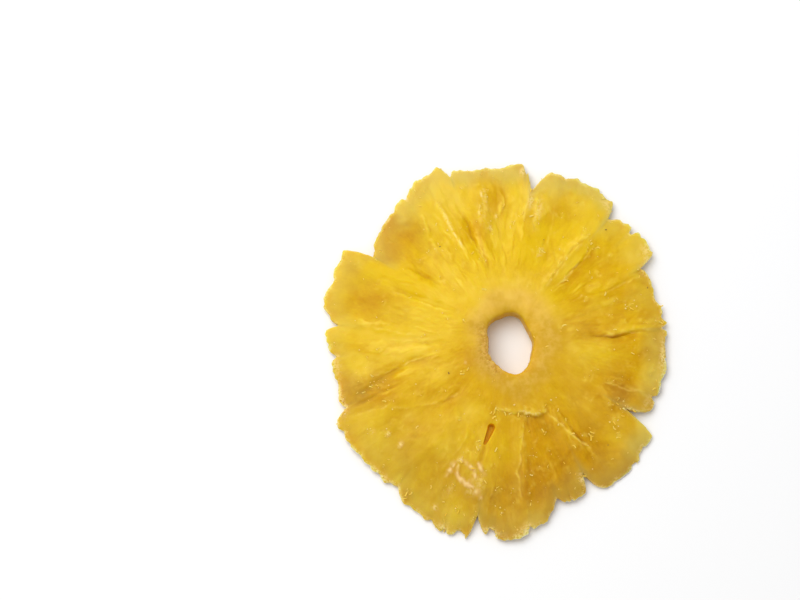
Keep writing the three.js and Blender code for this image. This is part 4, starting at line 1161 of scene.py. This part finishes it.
def candied_flesh_material(middle):
    """Candied flesh: lemon to amber as it ripened and deeper where shade is painted, tan round the hole,
    lighter there on the window's side as painted light, hazy at the rim, with a tint of green in places, pale
    where sugar has dried on it and where highlights are painted, and orange in its split."""
    material, tree, shader = new_material("dried_flesh")
    place = tree.add("ShaderNodeTexCoord", output="Object")
    streaks = noise_at(tree, fibre_coordinates(tree, middle, 150, 4), 1.0, 3.0, 0.6)
    threads = noise_at(tree, fibre_coordinates(tree, middle, 460, 2), 1.0, 2.0)
    blotches = noise_at(tree, place, 240.0, 3.0)
    crinkle = noise_at(tree, place, 1900.0, 3.0, 0.6)

    # This mask carries painted shade and light as well as the flesh's ripeness, so the amber it lays on is
    # partly painted shade.
    ripe = mask(tree, "ripe")
    for pattern, reach in ((streaks, 0.07), (blotches, 0.13), (threads, 0.1), (crinkle, 0.14)):
        ripe = tree.math("ADD", ripe, ranged(tree, pattern, 0.3, 0.7, -reach, reach))
    colour = LEMON
    for low, high, riper in ((0.0, 0.5, GOLD), (0.5, 1.0, AMBER), (1.0, 1.8, DEEP_AMBER)):
        colour = tree.blend(ranged(tree, ripe, low, high), colour, riper)

    # The rim's haze turns tan where that mask is high, which is partly painted shade.
    hazy = tree.blend(ranged(tree, mask(tree, "ripe"), 0.2, 0.8), RIM_HAZE, RIM_TAN)
    firm = tree.blend(ranged(tree, noise_at(tree, place, 700.0, 3.0), 0.4, 0.7), COLLAR_TAN, COLLAR_PALE)
    # Painted light: the collar turns lighter where the flesh is painted palest, on the window's side.
    firm = tree.blend(ranged(tree, mask(tree, "ripe"), 0.05, 0.6, 0.6, 0.0), firm, COLLAR_PAINTED_LIGHT)
    pores = tree.blend(ranged(tree, crinkle, 0.42, 0.58), PORE_BROWN, PORE_TAN)
    crumbly = ranged(tree, crinkle, 0.4, 0.55)
    for name, most, tint in (
        ("frost", 0.75, FROST_AND_HIGHLIGHT),
        ("haze", 0.85, hazy),
        ("green", 0.25, LEAF_GREEN),
        ("collar", 0.8, firm),
        ("pores", 0.85, pores),
        ("crust", crumbly, CRUST_CREAM),
        ("sugar_line", 0.85, SUGAR_PINK),
    ):
        colour = tree.blend(tree.math("MULTIPLY", mask(tree, name), most), colour, tint)
    colour = tree.blend(mask(tree, "skin"), SPLIT_ORANGE, colour)

    gloss = ranged(tree, blotches, 0.3, 0.7, 0.36, 0.5)
    gloss = tree.math("ADD", gloss, tree.math("MULTIPLY", mask(tree, "collar"), 0.12))
    crust = tree.math("MULTIPLY", mask(tree, "crust"), crumbly)
    rough = tree.math("ADD", mask(tree, "torn"), mask(tree, "pores"))
    rough = tree.math("MULTIPLY", crinkle, ranged(tree, rough, 0.0, 1.0, 0.35, 1.6))
    height = tree.math("ADD", tree.math("MULTIPLY", threads, 0.2), rough)
    tree.fill(shader, {
        "Base Color": colour,
        "Roughness": tree.math("ADD", gloss, tree.math("MULTIPLY", crust, 0.25)),
        "Subsurface Weight": 1.0,
        "Subsurface Radius": (1.0, 0.8, 0.45),
        "Subsurface Scale": 0.002,
        "Specular IOR Level": 0.14,
        "Specular Tint": (1, 0.94, 0.7, 1),
        "Normal": tree.add("ShaderNodeBump", {"Strength": 0.4, "Distance": 0.0002, "Height": height}),
    })
    return material


def crystal_material():
    """Clear grains of sugar, tinted by the juice they dried from."""
    material, tree, shader = new_material("sugar_crystals")
    tree.fill(shader, {
        "Base Color": patchy_colour(tree, 260.0, 0.35, 0.65, CRYSTAL_PALE, CRYSTAL_YELLOW),
        "Roughness": 0.25,
        "Specular IOR Level": 0.3,
        "Subsurface Weight": 0.3,
        "Subsurface Radius": (1.0, 0.8, 0.4),
        "Subsurface Scale": 0.0004,
    })
    return material


def fibre_material(middle):
    """Torn ends of fibre, straw-coloured and paler in streaks."""
    material, tree, shader = new_material("torn_fibres")
    streaks = noise_at(tree, fibre_coordinates(tree, middle, 200, 3), 1.0)
    tree.fill(shader, {
        "Base Color": tree.blend(ranged(tree, streaks, 0.4, 0.6), STRAW, PALE_STRAW),
        "Roughness": 0.45,
        "Specular IOR Level": 0.2,
        "Subsurface Weight": 0.3,
        "Subsurface Radius": (1.0, 0.6, 0.2),
        "Subsurface Scale": 0.0006,
    })
    return material


def speck_material():
    """Small dark scraps of the fruit's outer skin."""
    material, tree, shader = new_material("dark_specks")
    colour = patchy_colour(tree, 4000.0, 0.35, 0.65, SPECK_BROWN, AMBER)
    tree.fill(shader, {"Base Color": colour, "Roughness": 0.6})
    return material


def floor_material():
    """The plain pale surface that the ring lies on."""
    material, tree, shader = new_material("pale_floor")
    colour = patchy_colour(tree, 3.0, 0.3, 0.7, FLOOR_WHITE, FLOOR_BRIGHT)
    tree.fill(shader, {"Base Color": colour, "Roughness": 0.9, "Specular IOR Level": 0.1})
    return material


# What is scattered over the flesh, with sizes in metres

REST_CLEARANCE = 0.0004  # nothing is scattered on flesh that is lower than this
SCATTER_SIZES = {
    "Density": "NodeSocketFloat",  # how many on a square metre where the mask is 1
    "Smallest": "NodeSocketFloat",
    "Largest": "NodeSocketFloat",
    "Seed": "NodeSocketInt",
    "Material": "NodeSocketMaterial",
}


def growth_tree(name, sizes, shape, points):
    """A node tree that puts copies of a small shape on points, then makes them one mesh with a material.

    `sizes` are its named inputs. `shape` and `points` are functions of the tree and its inputs: the first
    gives the shape's geometry, and the second the points, with each copy's rotation and scale."""
    group = bpy.data.node_groups.new(name, "GeometryNodeTree")
    group.interface.new_socket("Geometry", in_out="INPUT", socket_type="NodeSocketGeometry")
    for size, kind in sizes.items():
        group.interface.new_socket(size, in_out="INPUT", socket_type=kind)
    group.interface.new_socket("Geometry", in_out="OUTPUT", socket_type="NodeSocketGeometry")
    tree = Tree(group)
    given = {socket.name: socket for socket in group.nodes.new("NodeGroupInput").outputs}
    where, rotation, scale = points(tree, given)
    placed = {"Points": where, "Instance": shape(tree, given), "Rotation": rotation, "Scale": scale}
    copies = tree.add("GeometryNodeInstanceOnPoints", placed)
    joined = tree.add("GeometryNodeRealizeInstances", {"Geometry": copies})
    dressed = tree.add("GeometryNodeSetMaterial", {"Geometry": joined, "Material": given["Material"]})
    tree.add_end("NodeGroupOutput", dressed)
    return group


def scattered(tree, given, attribute):
    """Random points over the surface, as thick as an attribute of it says. The underside stays bare where
    it rests."""
    height = tree.add("ShaderNodeSeparateXYZ", {"Vector": tree.add("GeometryNodeInputPosition")}, output="Z")
    clear = tree.math("GREATER_THAN", height, REST_CLEARANCE)
    wanted = tree.math("MULTIPLY", mask_field(tree, attribute), clear)
    density = tree.math("MULTIPLY", wanted, given["Density"])
    inputs = {"Mesh": given["Geometry"], "Density": density, "Seed": given["Seed"]}
    return tree.add("GeometryNodeDistributePointsOnFaces", inputs, distribute_method="RANDOM")


def mask_field(tree, name):
    return tree.add("GeometryNodeInputNamedAttribute", {"Name": name}, data_type="FLOAT")


def random_share(tree, given, step):
    """A random number from 0 to 1 for each point; another `step` gives other numbers."""
    seed = tree.math("ADD", given["Seed"], float(step))
    inputs = {2: 0.0, 3: 1.0, "Seed": seed}
    return tree.add("FunctionNodeRandomValue", inputs, output=1, data_type="FLOAT")


def random_turn(tree, given, low, high, step):
    """A random rotation for each point, between two sets of Euler angles in degrees."""
    seed = tree.math("ADD", given["Seed"], float(step))
    angles = {0: [math.radians(v) for v in low], 1: [math.radians(v) for v in high], "Seed": seed}
    euler = tree.add("FunctionNodeRandomValue", angles, data_type="FLOAT_VECTOR")
    return tree.add("FunctionNodeEulerToRotation", {"Euler": euler})


def random_size(tree, given, step, power):
    """A random size for each point between Smallest and Largest; a high power makes most of them small."""
    share = tree.math("POWER", random_share(tree, given, step), power)
    inputs = {"Value": share, "To Min": given["Smallest"], "To Max": given["Largest"]}
    return tree.add("ShaderNodeMapRange", inputs)


def crystal_shape(tree, _):
    """A blunt six-sided grain, one unit across."""
    inputs = {"Vertices": 6, "Radius Top": 0.32, "Radius Bottom": 0.5, "Depth": 0.8}
    return tree.add("GeometryNodeMeshCone", inputs)


def crystal_points(tree, given):
    where = scattered(tree, given, "sugar")
    size = random_size(tree, given, 1, 2.0)
    lengthwise = tree.math("MULTIPLY", size, tree.math("ADD", random_share(tree, given, 2), 0.6))
    scale = tree.add("ShaderNodeCombineXYZ", {"X": size, "Y": lengthwise, "Z": size})
    return where, random_turn(tree, given, (0, 0, 0), (TURN, TURN, TURN), 3), scale


def strand_shape(tree, given):
    """A bent strand one unit long, lying along X."""
    inputs = {"Resolution": 5, "Start": (-0.1, 0, -0.12), "Middle": (0.5, 0.2, 0.25), "End": (1, -0.1, -0.05)}
    line = tree.add("GeometryNodeCurveQuadraticBezier", inputs)
    round_line = tree.add("GeometryNodeCurvePrimitiveCircle", {"Resolution": 4, "Radius": given["Thinness"]})
    tube = {"Curve": line, "Profile Curve": round_line, "Fill Caps": True}
    return tree.add("GeometryNodeCurveToMesh", tube)


def strand_points(tree, given):
    """Strands that start on torn flesh and lean outwards, more or less."""
    where = scattered(tree, given, "fuzz")
    place = tree.add("GeometryNodeInputPosition")
    outwards = tree.add("ShaderNodeVectorMath", {0: place, 1: given["Middle"]}, operation="SUBTRACT")
    flat = tree.add("ShaderNodeVectorMath", {0: outwards, 1: (1, 1, 0)}, operation="MULTIPLY")
    along = tree.add("FunctionNodeAlignRotationToVector", {"Vector": flat}, axis="X")
    turn = random_turn(tree, given, (-180, -12, -75), (180, 3, 75), 3)
    turned = {"Rotation": along, "Rotate By": turn}
    rotation = tree.add("FunctionNodeRotateRotation", turned, rotation_space="LOCAL")
    return where, rotation, random_size(tree, given, 1, 2.0)


def speck_shape(tree, _):
    """An uneven scrap, about one unit across and flat."""
    ball = tree.add("GeometryNodeMeshIcoSphere", {"Radius": 0.5, "Subdivisions": 2})
    place = tree.add("GeometryNodeInputPosition")
    bumps = tree.add("ShaderNodeTexNoise", {"Vector": place, "Scale": 3.0}, output="Color")
    shift = tree.add("ShaderNodeVectorMath", {0: bumps, 1: (0.5, 0.5, 0.5)}, operation="SUBTRACT")
    moved = tree.add("GeometryNodeSetPosition", {"Geometry": ball, "Offset": shift})
    return tree.add("GeometryNodeTransform", {"Geometry": moved, "Scale": (1.0, 0.7, 0.35)})


def speck_points(tree, given):
    where = tree.add("GeometryNodeMeshToPoints", {"Mesh": given["Geometry"]})
    return where, random_turn(tree, given, (0, 0, 0), (0, 0, TURN), 3), random_size(tree, given, 1, 1.0)


def grow(name, bed, tree, settings):
    """The plain mesh that a node tree grows on a copy of a mesh."""
    seedbed = new_object(name, bed.copy())
    growth = seedbed.modifiers.new("growth", "NODES")
    growth.node_group = tree
    for item in tree.interface.items_tree:
        if item.name in settings:
            growth[item.identifier] = settings[item.name]
    depsgraph = bpy.context.evaluated_depsgraph_get()
    mesh = bpy.data.meshes.new_from_object(seedbed.evaluated_get(depsgraph), depsgraph=depsgraph)
    seedbed.modifiers.clear()
    seedbed.data = mesh
    mesh.name = name
    return seedbed


def scatter_sugar(ring):
    tree = growth_tree("sugar_grains", SCATTER_SIZES, crystal_shape, crystal_points)
    settings = {"Density": 1.1e6, "Smallest": 0.0001, "Largest": 0.0004, "Seed": 11}
    return grow("sugar_crystals", ring.data, tree, settings | {"Material": crystal_material()})


def scatter_fibres(ring, middle):
    sizes = SCATTER_SIZES | {"Thinness": "NodeSocketFloat", "Middle": "NodeSocketVector"}
    tree = growth_tree("torn_strands", sizes, strand_shape, strand_points)
    settings = {"Density": 0.9e6, "Smallest": 0.0003, "Largest": 0.0009, "Seed": 21, "Thinness": 0.2}
    settings |= {"Material": fibre_material(middle), "Middle": tuple(middle)}
    return grow("torn_fibres", ring.data, tree, settings)


# Dark scraps of skin caught in the flesh: angle and radius.
SPECK_PLACES = [(48.2, 33.8), (21.1, 34), (314.2, 31.5), (209, 15.4), (70, 24.1), (125.8, 26.1)]


def place_specks(ring, middle):
    """Dark scraps of skin, each where it lies on the ring's top."""
    places = []
    for angle, radius in SPECK_PLACES:
        turn = math.radians(angle)
        x = middle[0] + radius * METRES * math.cos(turn)
        y = middle[1] + radius * METRES * math.sin(turn) * LENGTHEN
        _, place, _, _ = ring.ray_cast((x, y, 1), (0, 0, -1))
        places.append(place)
    bed = bpy.data.meshes.new("speck_places")
    bed.from_pydata(places, [], [])
    tree = growth_tree("skin_specks", SCATTER_SIZES, speck_shape, speck_points)
    settings = {"Smallest": 0.0003, "Largest": 0.0006, "Seed": 5, "Material": speck_material()}
    return grow("dark_specks", bed, tree, settings)


# The stage, in metres

FLOOR_SIDE = 4.0
FLOOR_GAP = 0.0001  # how far the floor is below the ring, so that the two don't touch
ROOM_STRENGTH = 0.55
WINDOW_PLACE = (-0.24, 0.24, 0.56)
WINDOW_SIZE = 0.6
WINDOW_POWER = 3.1


def make_floor():
    mesh = bpy.data.meshes.new("floor")
    half, level = FLOOR_SIDE / 2, CAD_LOW.z - FLOOR_GAP
    corners = [(-half, -half, level), (half, -half, level), (half, half, level), (-half, half, level)]
    mesh.from_pydata(corners, [], [(0, 1, 2, 3)])
    mesh.materials.append(floor_material())
    floor = new_object("floor", mesh)


def light_scene():
    """A plain white room, lit from behind on the left by one broad window."""
    world = bpy.data.worlds.new("soft_room")
    world.use_nodes = True
    background = world.node_tree.nodes["Background"]
    background.inputs["Color"].default_value = (1, 1, 1, 1)
    background.inputs["Strength"].default_value = ROOM_STRENGTH
    bpy.context.scene.world = world
    lamp = bpy.data.lights.new("window", "AREA")
    lamp.shape, lamp.size, lamp.energy = "DISK", WINDOW_SIZE, WINDOW_POWER
    window = new_object("window", lamp)
    window.location = WINDOW_PLACE
    window.rotation_euler = (-Vector(WINDOW_PLACE)).to_track_quat("-Z", "Y").to_euler()
    bpy.context.scene.view_settings.view_transform = "Standard"


# The camera, in millimetres and degrees.
CAMERA_DISTANCE = 500
CAMERA_ELEVATION = 77
CAMERA_LENS = 100
SENSOR_WIDTH = 36
CAMERA_AIM = (-24.35, 9.17, 5)  # what the middle of the view looks at, from the hole's middle


def make_camera(middle):
    lens = bpy.data.cameras.new("camera")
    lens.lens = CAMERA_LENS
    lens.sensor_width = SENSOR_WIDTH
    camera = new_object("camera", lens)
    aim = Vector((middle[0], middle[1], 0)) + Vector(CAMERA_AIM) * METRES
    rise = math.radians(CAMERA_ELEVATION)
    back = Vector((0, -math.cos(rise), math.sin(rise)))
    camera.location = aim + back * CAMERA_DISTANCE * METRES
    camera.rotation_euler = (-back).to_track_quat("-Z", "Y").to_euler()
    bpy.context.scene.camera = camera


def main():
    ring = ring_mesh()
    middle = settle(ring)
    ring.data.materials.clear()
    ring.data.materials.append(candied_flesh_material(middle))
    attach(ring, "root")
    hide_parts("pineapple_ring")
    for piece in (scatter_sugar(ring), scatter_fibres(ring, middle), place_specks(ring, middle)):
        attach(piece, "root")
    make_floor()
    light_scene()
    make_camera(middle)


main()
